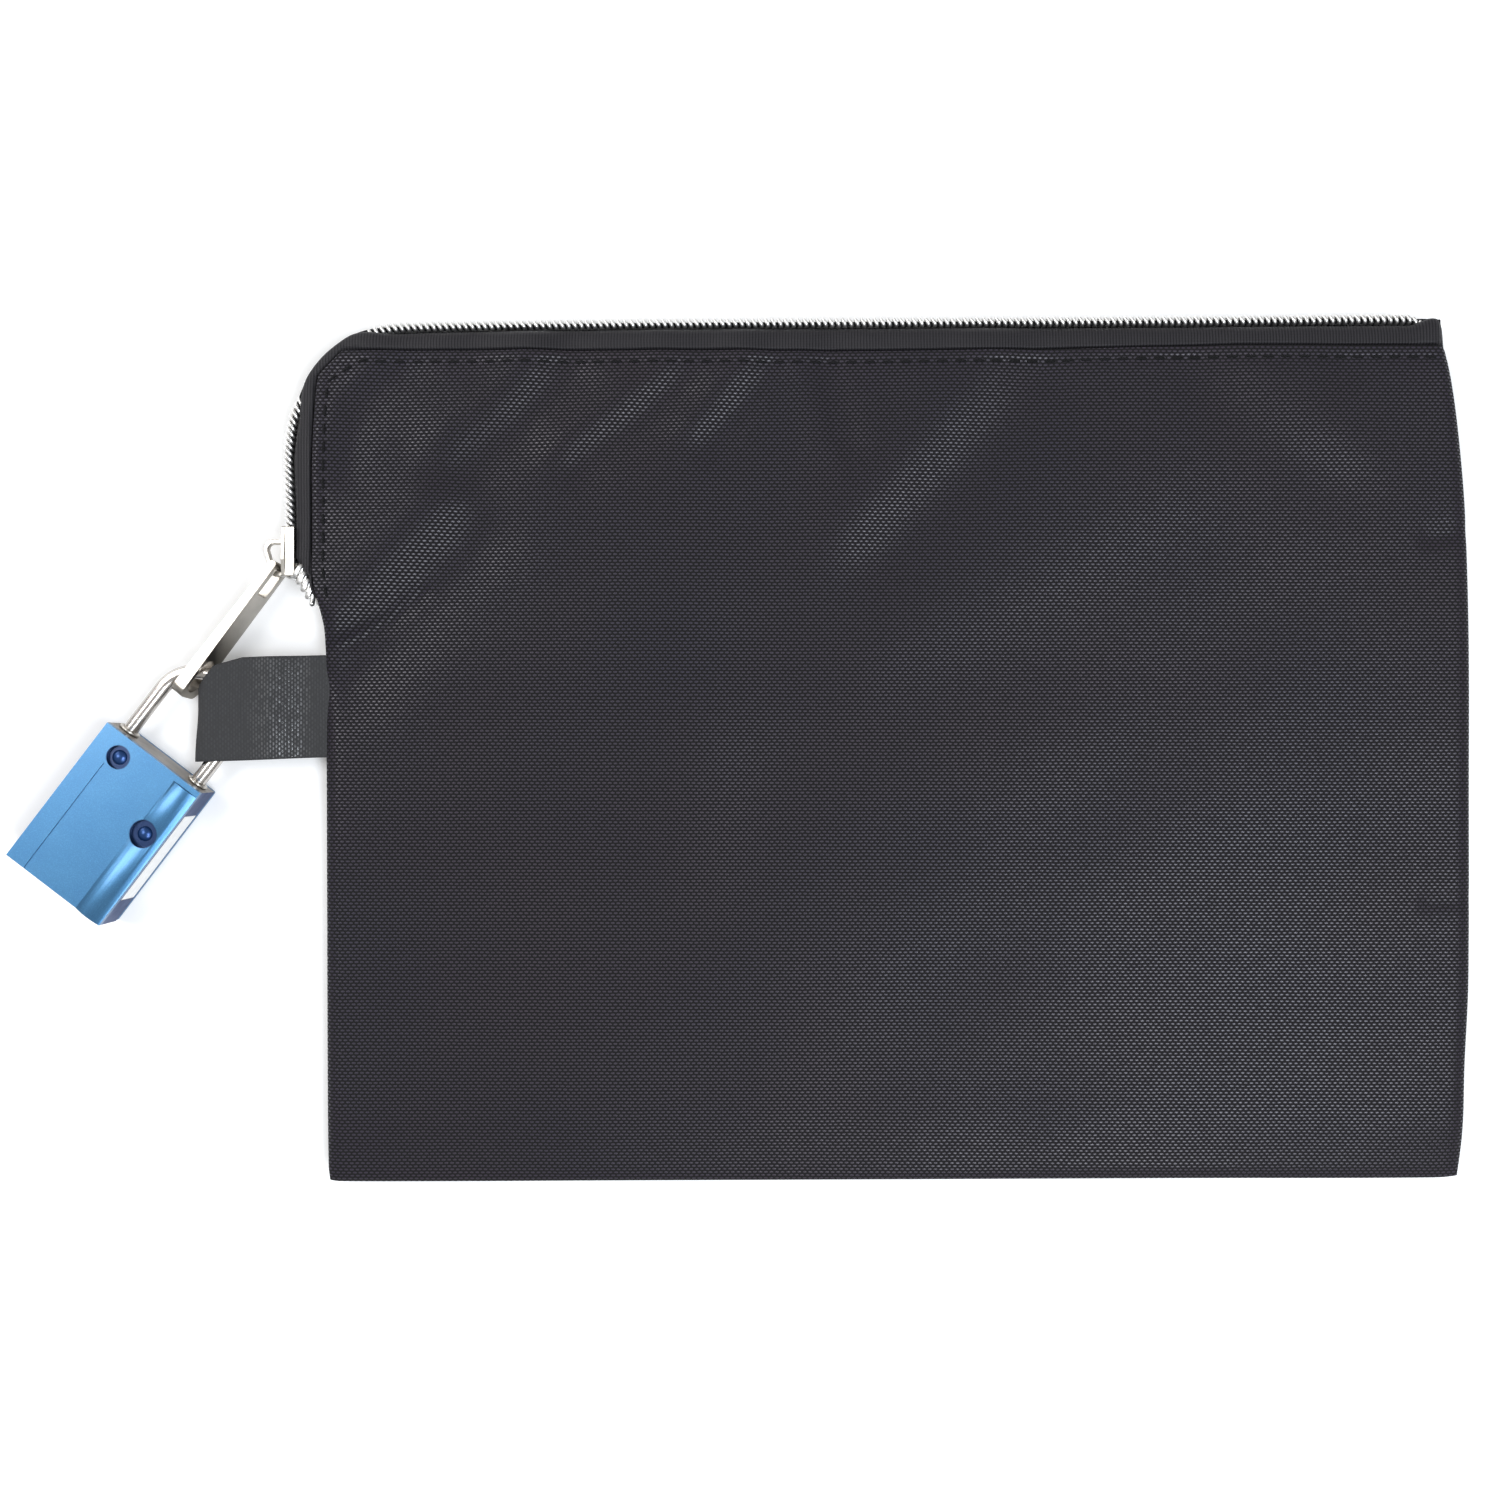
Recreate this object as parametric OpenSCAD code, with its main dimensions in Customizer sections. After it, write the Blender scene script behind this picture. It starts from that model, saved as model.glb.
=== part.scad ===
// Flat zip bag with a fire-resistant layer, a zip along two sides and a keyed padlock.
// The bag lies on its back. X runs to the right, Y towards the zip along the top edge, Z up.
// The origin is on the surface that the bag lies on, under the middle of the front panel.

/* [Bag] */
// Width of the panels
panel_w = 269; // [220:1:330]
// Height of the panels
panel_h = 194; // [160:1:240]
// Thickness of the bag as it lies
bag_t = 11.5; // [11:0.5:14]
// How far the right edge bows outwards
edge_bow = 2.5; // [1:0.5:5]
// Corner that the zip cuts off the panels, measured along each edge
mouth_cut = 7; // [4:0.5:10]
// Thickness of the outer cloth
panel_t = 0.8; // [0.6:0.1:1.2]
// Thickness of the fire-resistant layer
fire_t = 0.8; // [0.4:0.1:1]
// Thickness of the lining
lining_t = 0.4; // [0.3:0.1:0.6]
// Distance of the top stitching from the panel's edge
stitch_in = 2.4; // [1.5:0.1:3.5]
// Thickness of the stitching thread
thread_t = 0.5; // [0.3:0.1:0.7]

/* [Zip] */
// How far the zip stands above the panel's top edge
zip_rise = 7; // [5.5:0.5:10]
// How far the zip stands outside the panel's left edge
zip_out = 8; // [6:0.5:11]
// Radius of the zip's bend at the corner
zip_bend_r = 16; // [12:1:24]
// Distance of the zip's end from the right edge
zip_end_in = 10; // [6:1:30]
// Length of the zip's left run, down to where the side seam starts
zip_run = 60; // [50:1:80]
// Width of the closed chain of elements
chain_w = 5.6; // [5:0.1:6.2]
// Thickness of the chain
chain_t = 2.2; // [1.8:0.1:2.6]
// Thickness of the tapes
tape_t = 0.5; // [0.3:0.1:0.6]
// Width of tape that is sewn under the panel
tape_under = 9; // [6:0.5:12]
// Length of the end stop
stop_len = 2.4; // [1.5:0.1:3.5]

/* [Slider and pull] */
// Length of the slider
slider_len = 11.6; // [10.5:0.1:13]
// Height of the slider's lower end above the start of the side seam
slider_up = 7; // [5:0.5:12]
// Thickness of the slider's plates and flanges
slider_wall = 0.8; // [0.6:0.1:1]
// Travel of the slider that the locked padlock leaves
slider_travel = 8; // [4:0.5:8]
// Width of the bridge
bridge_w = 2.4; // [1.8:0.1:3]
// How far the bridge stands off the slider
bridge_rise = 4.9; // [4.2:0.1:6]
// Length of the pull tab from its crossbar
tab_len = 37.5; // [36.5:0.5:44]
// Width of the pull tab
tab_w = 8.4; // [7.6:0.1:10]
// Thickness of the pull tab at its crossbar
tab_t = 1.8; // [1.4:0.1:2]
// Thickness of the pull tab at its lower end
tab_end_t = 3; // [2:0.1:3.2]
// Lean of the pull tab about its length
tab_lean = 8; // [0:1:10]
// Length of the window beside the crossbar
window_len = 8; // [6:0.5:10]
// Width of the window
window_w = 4.6; // [4.4:0.1:5]
// Length of the hole for the shackle
tab_hole_len = 9; // [8:0.1:9.4]
// Width of the hole for the shackle
tab_hole_w = 5.2; // [5:0.1:5.4]

/* [Webbing loop] */
// Width of the webbing
loop_w = 24; // [20:0.5:27]
// How far the loop stands out of the side seam
loop_len = 29.1; // [29:0.1:32]
// Thickness of the webbing
loop_t = 1.2; // [0.8:0.1:1.4]
// Distance of the loop's lower edge below the start of the side seam
loop_down = 35.2; // [34:0.1:35.2]
// Length of the loop that the shackle holds open
tunnel_len = 9.5; // [9:0.1:12]

/* [Padlock] */
// Width of the body
lock_w = 27; // [26:0.5:32]
// Height of the body
lock_h = 38.5; // [37:0.5:46]
// Thickness of the body at the flat of the front cover
lock_t = 12.4; // [12:0.1:15]
// Thickness of the covers at their edges
cover_t = 1.7; // [1.4:0.1:2]
// How far the ridge stands out of the front cover
ridge_rise = 0.8; // [0.4:0.1:1.2]
// Width of the ridge
ridge_w = 6.8; // [5:0.1:8]
// Angle of the padlock from upright
lock_angle = 37.4; // [34:0.1:40]
// Place of the middle of the padlock's top, to the left of the left seam
lock_out = 37.6; // [36.5:0.1:40]
// Place of the middle of the padlock's top, below the start of the side seam
lock_down = 35.3; // [35:0.1:37]
// Radius of the shackle's bar
shackle_r = 1.8; // [1.5:0.05:1.85]
// Distance between the middles of the shackle's legs
leg_gap = 20; // [19:0.1:22]
// Straight length of the legs above the body
leg_up = 12.8; // [12:0.1:14]
// Depth of the short leg in the body
toe_depth = 7.5; // [7:0.1:8]
// Depth of the long leg in the body
heel_depth = 19.5; // [19:0.1:21]
// Travel of the shackle when the lock opens
shackle_travel = 8; // [7.6:0.1:8]
// Radius of the key plug
plug_r = 3.2; // [3.1:0.05:3.4]
// Length of the key plug
plug_len = 20.2; // [19:0.1:22]
// Eccentric offset of the cam pin
cam_offset = 0.78; // [0.6:0.01:0.8]

/* [Fits] */
// Gap between layers of cloth and between fixed pieces
fit = 0.05; // [0.02:0.01:0.1]
// Running gap round turning and sliding pieces
running = 0.05; // [0.02:0.01:0.08]
// Gap round the zip's chain in the slider
slide_gap = 0.15; // [0.1:0.01:0.25]

/* [Hidden] */
$fn = 48;

cloth = "#3a383d";
tape_black = "#333437";
nickel = "#d8d4cc";
blue = "#3f7fc4";
core_grey = "#8d8880";
brass = "#c9a14a";
past = 1;

// Edges of the panels and lines of the zip
left_x = -panel_w / 2;
right_x = panel_w / 2;
top_y = panel_h / 2;
mid_z = bag_t / 2;
bow_r = (panel_h * panel_h / 4 + edge_bow * edge_bow) / (2 * edge_bow);
zip_x = left_x - zip_out;
zip_y = top_y + zip_rise;
zip_end_x = right_x - zip_end_in;
seam_y = top_y - zip_run;
loop_y = seam_y - loop_down;

// Layers of the front half, from the outside in
fire_in = panel_t + fit;
lining_in = fire_in + fire_t + fit;
tape_top = bag_t - fire_in;
tape_reach = zip_out + tape_under;
tape_gap = 0.2;

// Slider, from its lower end
slider_y = seam_y + slider_up;
plate_x = zip_x - slide_gap - slider_wall;
post_w = 2.2;
post_len = 2.6;
post_gap = 0.2;
open_y = slider_y + slider_wall + post_len + slider_travel + post_gap;
channel_half = chain_w / 2 + slide_gap;
bar_r = tab_t / 2;
eye_wall = 1.1;
eye_r = bar_r / cos(tab_lean) + bridge_w / 2 * tan(tab_lean) + running;
bar_off = bar_r + tab_w / 2 * sin(tab_lean) * cos(lock_angle) + post_gap;
bar_x = plate_x - bar_off;
bar_y = slider_y + eye_r + eye_wall + post_gap;
bridge_len = 4.2;

// Pull tab and padlock share one direction
corner_r = 2;
lock_x = left_x - lock_out;
lock_up = seam_y - lock_down;
lock_z = lock_t / 2;
bow_centre = leg_gap / 2;
bow_x = lock_x + leg_up * sin(lock_angle) - bar_x;
bow_y = lock_up + leg_up * cos(lock_angle) - bar_y;
bow_side = bow_x * cos(lock_angle) - bow_y * sin(lock_angle);
bow_down = -bow_x * sin(lock_angle) - bow_y * cos(lock_angle);
hole_lean = 0.5;
hole_mid = bow_down - sqrt(bow_centre * bow_centre - bow_side * bow_side) + hole_lean;
hole_near = hole_mid - tab_hole_len / 2;
bore_r = shackle_r + running;

// Lock work, measured down from the top of the body
pawl_y = 3.8;
pawl_h = 2;
pawl_half = 1.6;
pawl_tail = 3;
pawl_room = 0.4;
cam_play = 0.06;
slot_low = 0.15;
nose_gap = 0.2;
notch_play = 0.3;
notch_clear = 0.15;
pawl_throw = cam_offset * sqrt(2);
nose_x = bow_centre - shackle_r - nose_gap;
notch_depth = pawl_throw - nose_gap + notch_clear;
cam_r = 0.5;
tail_r = 1.5;
heel_pin_r = 0.6;
heel_pin_y = 9.5;
heel_flat = 0.9;
heel_pin_x = -bow_centre + shackle_r - heel_flat + heel_pin_r + running;
plug_pin_r = 0.5;
pin_fit = 0.02;
plug_from = lock_h - plug_len;
plug_pin_in = 3.7;
plug_pin_y = plug_from + plug_pin_in;
plug_groove = 0.7;
plug_pin_x = plug_r - plug_groove + plug_pin_r + running;
rivet_r = 1;
rivet_head_r = 1.8;
rivet_head_h = 0.8;
rivet_floor = 0.6;
rivet_at = [[-6.6, -4.9], [8.8, -15.4]];
recess_r = [2.7, 3.2];
label_from = 7;
label_len = 24.4;
label_t = 0.4;
label_frame = 0.4;
collar_h = 0.7;
collar_wall = 0.7;
wafer_count = 4;
wafer_in = 6.7;
wafer_pitch = 3;
wafer_at = [for (i = [0 : wafer_count - 1]) plug_from + wafer_in + wafer_pitch * i];
wafer_size = [3.6, 0.6, 4.6];
keyway = [1.2, 14, 4.4];
key_hole = [1.4, 2.6];
spring_r = 1.25;
spring_wire = 0.5;
spring_turns = 7;
spring_len = 7.7;

// Outline of the panels, moved inwards
module outline(inset) {
  slant = inset * (sqrt(2) - 1);
  intersection() {
    polygon([
      [left_x + inset, -top_y + inset],
      [right_x, -top_y + inset],
      [right_x, top_y - inset],
      [left_x + mouth_cut + slant, top_y - inset],
      [left_x + inset, top_y - mouth_cut - slant]
    ]);
    translate([right_x - bow_r, 0]) circle(r = bow_r - inset, $fn = 360);
  }
}

// Everything inside the zip's line, moved inwards
module inside_zip(inset) {
  bend = max(zip_bend_r - inset, 1);
  low = seam_y;
  translate([zip_x + inset + bend, low]) square([zip_end_x - zip_x - inset - bend, zip_y - inset - low]);
  translate([zip_x + inset, low]) square([bend, zip_y - inset - bend - low]);
  translate([zip_x + inset + bend, zip_y - inset - bend]) circle(r = bend);
}

// Strip that follows the zip between two distances from its line
module zip_strip(from, to) {
  difference() {
    inside_zip(from);
    inside_zip(to);
  }
}

// Where the panels stay open for the zip
module mouth() {
  translate([left_x - past, seam_y]) square([zip_end_x - left_x + past, zip_run + past]);
}

// Corner below the slider, which the tape leaves free on its way into the side seam
module seam_corner() {
  polygon([
    [zip_x - past, slider_y - post_gap],
    [zip_x + chain_t, slider_y - post_gap],
    [left_x + panel_t, seam_y],
    [left_x + panel_t, seam_y - past],
    [zip_x - past, seam_y - past]
  ]);
}

// Turns a front piece into the back piece
module on_back() {
  translate([0, 0, mid_z]) mirror([0, 0, 1]) translate([0, 0, -mid_z]) children();
}

// One layer of the bag: a shallow tray with its walls on the closed sides
module tray(inset, wall, skip_tape) {
  difference() {
    translate([0, 0, mid_z + fit]) linear_extrude(mid_z - fit - inset) outline(inset);
    translate([0, 0, mid_z - past]) linear_extrude(mid_z + past - inset - wall) outline(inset + wall);
    translate([0, 0, mid_z - past]) linear_extrude(mid_z + past - inset - wall) mouth();
    if (skip_tape) {
      translate([0, 0, mid_z - past]) linear_extrude(mid_z + past) zip_strip(-past, tape_reach + tape_gap);
    }
  }
}

// Groove or thread of the top stitching
module stitch_line(depth, grow) {
  translate([0, 0, bag_t - depth]) linear_extrude(depth + past) intersection() {
    difference() {
      outline(stitch_in - grow);
      outline(stitch_in + thread_t + grow);
    }
    mouth();
  }
}

module loop_slot() {
  translate([left_x - past, loop_y - fit, mid_z - loop_t - fit])
    cube([panel_t + 2 * past, loop_w + 2 * fit, 2 * (loop_t + fit)]);
}

module front_panel() {
  color(cloth) difference() {
    tray(0, panel_t, false);
    stitch_line(thread_t / 2 + fit, fit);
    loop_slot();
  }
}

module front_fire_layer() {
  color("#8a8f8c") tray(fire_in, fire_t, true);
}

module front_lining() {
  color("#5b5e60") tray(lining_in, lining_t, true);
}

module front_topstitch() {
  color("#1c1c1e") intersection() {
    stitch_line(thread_t / 2, 0);
    translate([-panel_w, -panel_h, 0]) cube([2 * panel_w, 2 * panel_h, bag_t]);
  }
}

// Tape: a flat strip under the panel and a lip that carries the elements
module front_zip_tape() {
  color(tape_black) difference() {
    union() {
      translate([0, 0, tape_top - tape_t]) linear_extrude(tape_t) zip_strip(chain_t + fit, tape_reach);
      translate([0, 0, mid_z + fit]) linear_extrude(tape_top - mid_z - fit)
        zip_strip(chain_t + fit, chain_t + fit + tape_t);
    }
    translate([0, 0, mid_z - past]) linear_extrude(bag_t) seam_corner();
    post_path();
  }
}

// Room that the slider's post sweeps between the two halves
module post_path() {
  translate([zip_x - past, seam_y - past, mid_z - post_w / 2 - post_gap])
    cube([chain_t + tape_t + 2 * past, open_y - seam_y + past, post_w + 2 * post_gap]);
}

// Elements of the front half, with their unmeshed tail running into the seam
module front_coil() {
  color(nickel) difference() {
    translate([0, 0, mid_z + fit]) linear_extrude(chain_w / 2 - fit) union() {
      difference() {
        zip_strip(0, chain_t);
        translate([zip_x - past, seam_y - past]) square([zip_out, slider_y - post_gap - seam_y + past]);
      }
      polygon([
        [zip_x, slider_y + post_gap],
        [zip_x, slider_y - 2 * post_gap],
        [left_x - fit, seam_y - chain_t],
        [left_x - fit, seam_y],
        [zip_x + chain_t, slider_y - 2 * post_gap],
        [zip_x + chain_t, slider_y + post_gap]
      ]);
    }
    post_path();
  }
}

module zip_end_stop() {
  color(nickel) translate([zip_end_x + fit, zip_y - chain_t, mid_z - chain_w / 2])
    cube([stop_len, chain_t + fit, chain_w]);
}

// Folded strap: two layers that part towards the fold, with one corner pushed in by the pull
module webbing_loop() {
  fold_gap = 0.35;
  press_gap = 0.5;
  sewn_len = 4;
  fold_r = shackle_r + fold_gap;
  fold_x = left_x - loop_len + fold_r + loop_t;
  open_x = fold_x + tunnel_len;
  root_x = left_x + panel_t;
  join_x = left_x - sewn_len;
  cut_d = tab_len + tab_end_t / 2 + tab_w / 2 * sin(tab_lean) + press_gap;
  color("#34373a") difference() {
    translate([0, loop_y + loop_w, 0]) rotate([90, 0, 0]) linear_extrude(loop_w) difference() {
      union() {
        translate([fold_x, lock_z]) circle(r = fold_r + loop_t);
        polygon([
          [fold_x, lock_z - fold_r - loop_t],
          [open_x, lock_z - fold_r - loop_t],
          [join_x, mid_z - loop_t],
          [root_x, mid_z - loop_t],
          [root_x, mid_z + loop_t],
          [join_x, mid_z + loop_t],
          [open_x, lock_z + fold_r + loop_t],
          [fold_x, lock_z + fold_r + loop_t]
        ]);
      }
      translate([fold_x, lock_z]) circle(r = fold_r);
      polygon([
        [fold_x, lock_z - fold_r],
        [open_x, lock_z - fold_r],
        [join_x, mid_z - fit],
        [join_x, mid_z + fit],
        [open_x, lock_z + fold_r],
        [fold_x, lock_z + fold_r]
      ]);
    }
    in_tab_frame() translate([0, -tab_len, -tab_len]) cube([2 * tab_len, cut_d, 2 * tab_len]);
  }
}

// Slider: outer plate with flanges, inner plate, and the post between them
module slider_body() {
  flange_d = slider_wall + chain_t;
  inner_x = zip_x + chain_t + tape_t + 3 * slide_gap;
  inner_in = 0.4;
  inner_half = channel_half - inner_in;
  flare = 0.7;
  color(nickel) translate([0, slider_y, mid_z]) {
    translate([plate_x, 0, 0]) rotate([0, 90, 0]) linear_extrude(slider_wall) polygon([
      [-channel_half - slider_wall, slider_len],
      [-channel_half - slider_wall - flare, slider_len / 3],
      [-channel_half - slider_wall, 0],
      [channel_half + slider_wall, 0],
      [channel_half + slider_wall + flare, slider_len / 3],
      [channel_half + slider_wall, slider_len]
    ]);
    for (side = [-1, 1])
      translate([plate_x, 0, side * (channel_half + slider_wall / 2) - slider_wall / 2])
        cube([flange_d, slider_len, slider_wall]);
    translate([inner_x, 0, -inner_half]) cube([slider_wall, slider_len, 2 * inner_half]);
    translate([plate_x, slider_wall, -post_w / 2]) cube([inner_x - plate_x + slider_wall, post_len, post_w]);
  }
}

// Slot or arm of height h between two round ends, its straight sides a hair inside the tangents
module capsule(a, b, r, h) {
  hair = 0.985;
  side = hair * r * [a[1] - b[1], b[0] - a[0]] / norm(b - a);
  translate([a[0], a[1], 0]) cylinder(r = r, h = h);
  translate([b[0], b[1], 0]) cylinder(r = r, h = h);
  linear_extrude(h) polygon([a + side, b + side, b - side, a - side]);
}

module slider_bridge() {
  low = [-bar_off, 0];
  high = [-bridge_rise + eye_r + eye_wall, bridge_len];
  ring_r = eye_r + eye_wall;
  tall = bridge_w + 2 * past;
  color(nickel) translate([plate_x, bar_y, mid_z - bridge_w / 2]) difference() {
    union() {
      capsule(low, high, ring_r, bridge_w);
      translate([low[0] - eye_wall, -ring_r, 0]) cube([bar_off + eye_wall, eye_wall, bridge_w]);
      translate([high[0] - eye_wall, bridge_len + eye_r, 0]) cube([eye_wall - high[0], eye_wall, bridge_w]);
    }
    translate([0, 0, -past]) {
      capsule(low, high, eye_r, tall);
      linear_extrude(tall) polygon([
        [low[0], -eye_r], [past, -eye_r], [past, bridge_len + eye_r], [high[0], bridge_len + eye_r]
      ]);
      translate([-fit, -slider_len, 0]) cube([slider_len, 3 * slider_len, tall]);
    }
  }
}

// Local X runs down the pull tab, local Y across its thickness, towards the bag
module in_tab_frame() {
  translate([bar_x, bar_y, mid_z]) rotate([0, 0, -90 - lock_angle]) children();
}

module pull_tab() {
  half = tab_w / 2;
  color(nickel) in_tab_frame() rotate([tab_lean, 0, 0]) difference() {
    union() {
      translate([0, 0, -half]) cylinder(r = bar_r, h = tab_w);
      intersection() {
        translate([0, 0, -half]) linear_extrude(tab_w) polygon([
          [0, -bar_r], [tab_len, -tab_end_t / 2], [tab_len, tab_end_t / 2], [0, bar_r]
        ]);
        translate([0, tab_len, 0]) rotate([90, 0, 0]) linear_extrude(2 * tab_len) union() {
          translate([-past, -half]) square([tab_len - corner_r + past, tab_w]);
          translate([0, -half + corner_r]) square([tab_len, tab_w - 2 * corner_r]);
          for (side = [-1, 1])
            translate([tab_len - corner_r, side * (half - corner_r)]) circle(r = corner_r);
        }
      }
    }
    translate([0, tab_len, 0]) rotate([90, 0, 0]) linear_extrude(2 * tab_len) difference() {
      translate([-past * 2, -window_w / 2]) square([window_len + past * 2, window_w]);
      translate([-past * 3, -half]) square([past * 3 + bar_r, tab_w]);
    }
    difference() {
      translate([-past * 2, -half, -window_w / 2]) cube([past * 2 + bar_r + fit, tab_w, window_w]);
      translate([0, 0, -half]) cylinder(r = bar_r, h = tab_w);
    }
    translate([0, tab_len, (lock_z - mid_z) / cos(tab_lean)]) rotate([90, 0, 0]) capsule(
      [hole_near + tab_hole_w / 2, 0],
      [hole_near + tab_hole_len - tab_hole_w / 2, 0],
      tab_hole_w / 2, 2 * tab_len
    );
  }
}

// Local Y points from the body to the shackle, the origin is the middle of the body's top
module in_lock_frame() {
  translate([lock_x, lock_up, 0]) rotate([0, 0, -lock_angle]) children();
}

// Cylinder along local Y between two depths below the top of the body
module rod(x, z, r, from, to) {
  translate([x, -from, z]) rotate([90, 0, 0]) cylinder(r = r, h = to - from);
}

module shackle() {
  flat_from = heel_pin_y + heel_pin_r + shackle_travel + notch_play;
  color("#cfcac2") in_lock_frame() difference() {
    union() {
      translate([0, leg_up, lock_z]) rotate_extrude(angle = 180)
        translate([bow_centre, 0]) circle(r = shackle_r);
      rod(bow_centre, lock_z, shackle_r, -leg_up, toe_depth);
      rod(-bow_centre, lock_z, shackle_r, -leg_up, heel_depth);
    }
    translate([bow_centre - shackle_r - past, -pawl_y - pawl_h / 2 - notch_play, 0])
      cube([notch_depth + past, pawl_h + 2 * notch_play, 2 * lock_z]);
    translate([-bow_centre + shackle_r - heel_flat, -flat_from, 0])
      cube([shackle_r, shackle_travel + 2 * (heel_pin_r + notch_play), 2 * lock_z]);
  }
}

module padlock_core() {
  half = lock_w / 2;
  low = cover_t + fit;
  high = lock_t - cover_t - fit;
  color(core_grey) in_lock_frame() difference() {
    translate([-half, -lock_h, low]) cube([lock_w, lock_h, high - low]);
    rod(-bow_centre, lock_z, bore_r, -past, heel_depth + spring_len + fit);
    rod(bow_centre, lock_z, bore_r, -past, toe_depth + past);
    rod(0, lock_z, tail_r + running, pawl_y, plug_from + past);
    rod(0, lock_z, plug_r + running, plug_from - running, lock_h + past);
    translate([-pawl_tail - pawl_room, -pawl_y - pawl_h / 2 - running, lock_z - pawl_half - running])
      cube([pawl_tail + pawl_room + bow_centre, pawl_h + 2 * running, 2 * (pawl_half + running)]);
    for (at = rivet_at) translate([at[0], at[1], 0]) cylinder(r = rivet_r + running, h = 2 * lock_t);
    translate([heel_pin_x, -heel_pin_y, 0]) cylinder(r = heel_pin_r + pin_fit, h = 2 * lock_t);
    translate([plug_pin_x, -plug_pin_y, 0]) cylinder(r = plug_pin_r + pin_fit, h = 2 * lock_t);
    translate([half - label_t - fit, -label_from - label_len - fit, low + label_frame])
      cube([past, label_len + 2 * fit, high - low - 2 * label_frame]);
  }
}

module heel_pin() {
  color(nickel) in_lock_frame() translate([heel_pin_x, -heel_pin_y, cover_t + 2 * fit])
    cylinder(r = heel_pin_r, h = lock_t - 2 * cover_t - 4 * fit);
}

module plug_pin() {
  color(nickel) in_lock_frame() translate([plug_pin_x, -plug_pin_y, cover_t + 2 * fit])
    cylinder(r = plug_pin_r, h = lock_t - 2 * cover_t - 4 * fit);
}

module padlock_front_cover() {
  half = lock_w / 2;
  base = lock_t - cover_t;
  round_r = (ridge_w * ridge_w / 4 + ridge_rise * ridge_rise) / (2 * ridge_rise);
  ridge_from = 1.4;
  ridge_root = 0.2;
  line_w = 0.3;
  line_depth = 0.25;
  line_x = -8.5;
  line_from = 8;
  color(blue) in_lock_frame() difference() {
    union() {
      translate([-half, -lock_h, base]) cube([lock_w, lock_h, cover_t]);
      intersection() {
        rod(half - ridge_w / 2, lock_t + ridge_rise - round_r, round_r, ridge_from, lock_h);
        translate([half - ridge_w, -lock_h, base + ridge_root]) cube([ridge_w, lock_h, cover_t + ridge_rise]);
      }
    }
    for (i = [0, 1]) translate([rivet_at[i][0], rivet_at[i][1], 0]) {
      cylinder(r = rivet_r + running, h = 2 * lock_t);
      translate([0, 0, base + rivet_floor]) cylinder(r = recess_r[i], h = lock_t);
    }
    translate([line_x, -lock_h - past, lock_t - line_depth]) cube([line_w, lock_h - line_from + past, past]);
  }
}

module padlock_back_cover() {
  color(blue) in_lock_frame() difference() {
    translate([-lock_w / 2, -lock_h, 0]) cube([lock_w, lock_h, cover_t]);
    for (i = [0, 1]) translate([rivet_at[i][0], rivet_at[i][1], -past]) {
      cylinder(r = rivet_r + running, h = 2 * lock_t);
      cylinder(r = recess_r[0], h = past + cover_t - rivet_floor);
    }
  }
}

// Domed rivet head on a floor at height z
module rivet_head(z, up) {
  dome_r = (rivet_head_r * rivet_head_r + rivet_head_h * rivet_head_h) / (2 * rivet_head_h);
  translate([0, 0, z]) mirror([0, 0, up ? 0 : 1]) intersection() {
    translate([0, 0, rivet_head_h - dome_r]) sphere(r = dome_r);
    cylinder(r = rivet_head_r + past, h = rivet_head_h);
  }
}

module rivets() {
  low = cover_t - rivet_floor - fit;
  high = lock_t - cover_t + rivet_floor + fit;
  color("#2f5fa8") in_lock_frame() for (at = rivet_at) translate([at[0], at[1], 0]) {
    translate([0, 0, low]) cylinder(r = rivet_r, h = high - low);
    rivet_head(high, true);
    rivet_head(low, false);
  }
}

module side_label() {
  low = cover_t + label_frame + 2 * fit;
  color("#f1f0ec") in_lock_frame()
    translate([lock_w / 2 - label_t, -label_from - label_len, low])
      cube([label_t, label_len, lock_t - 2 * low]);
}

module shackle_collars() {
  color(nickel) in_lock_frame() for (side = [-1, 1]) difference() {
    rod(side * bow_centre, lock_z, bore_r + collar_wall, -collar_h - fit, -fit);
    rod(side * bow_centre, lock_z, bore_r, -collar_h - past, past);
  }
}

// Wound wire: a tube of six sides swept along a helix
module helix(r, wire, length, turns) {
  sides = 6;
  steps = 10 * turns;
  rise = length - wire;
  rings = [for (i = [0 : steps], k = [0 : sides - 1])
    let (a = 360 * i / 10, b = 360 * k / sides, d = r + wire / 2 * cos(b))
    [d * cos(a), d * sin(a), wire / 2 + rise * i / steps + wire / 2 * sin(b)]];
  walls = [for (i = [0 : steps - 1], k = [0 : sides - 1], half = [0, 1])
    let (a = i * sides + k, b = i * sides + (k + 1) % sides)
    half == 0 ? [a, a + sides, b] : [b, a + sides, b + sides]];
  caps = [for (k = [1 : sides - 2], end = [0, 1])
    end == 0 ? [0, k, k + 1] : [steps * sides, steps * sides + k + 1, steps * sides + k]];
  polyhedron(points = rings, faces = concat(walls, caps));
}

module shackle_spring() {
  color(nickel) in_lock_frame() translate([-bow_centre, -heel_depth - spring_len, lock_z]) rotate([-90, 0, 0])
    helix(spring_r, spring_wire, spring_len, spring_turns);
}

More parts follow.
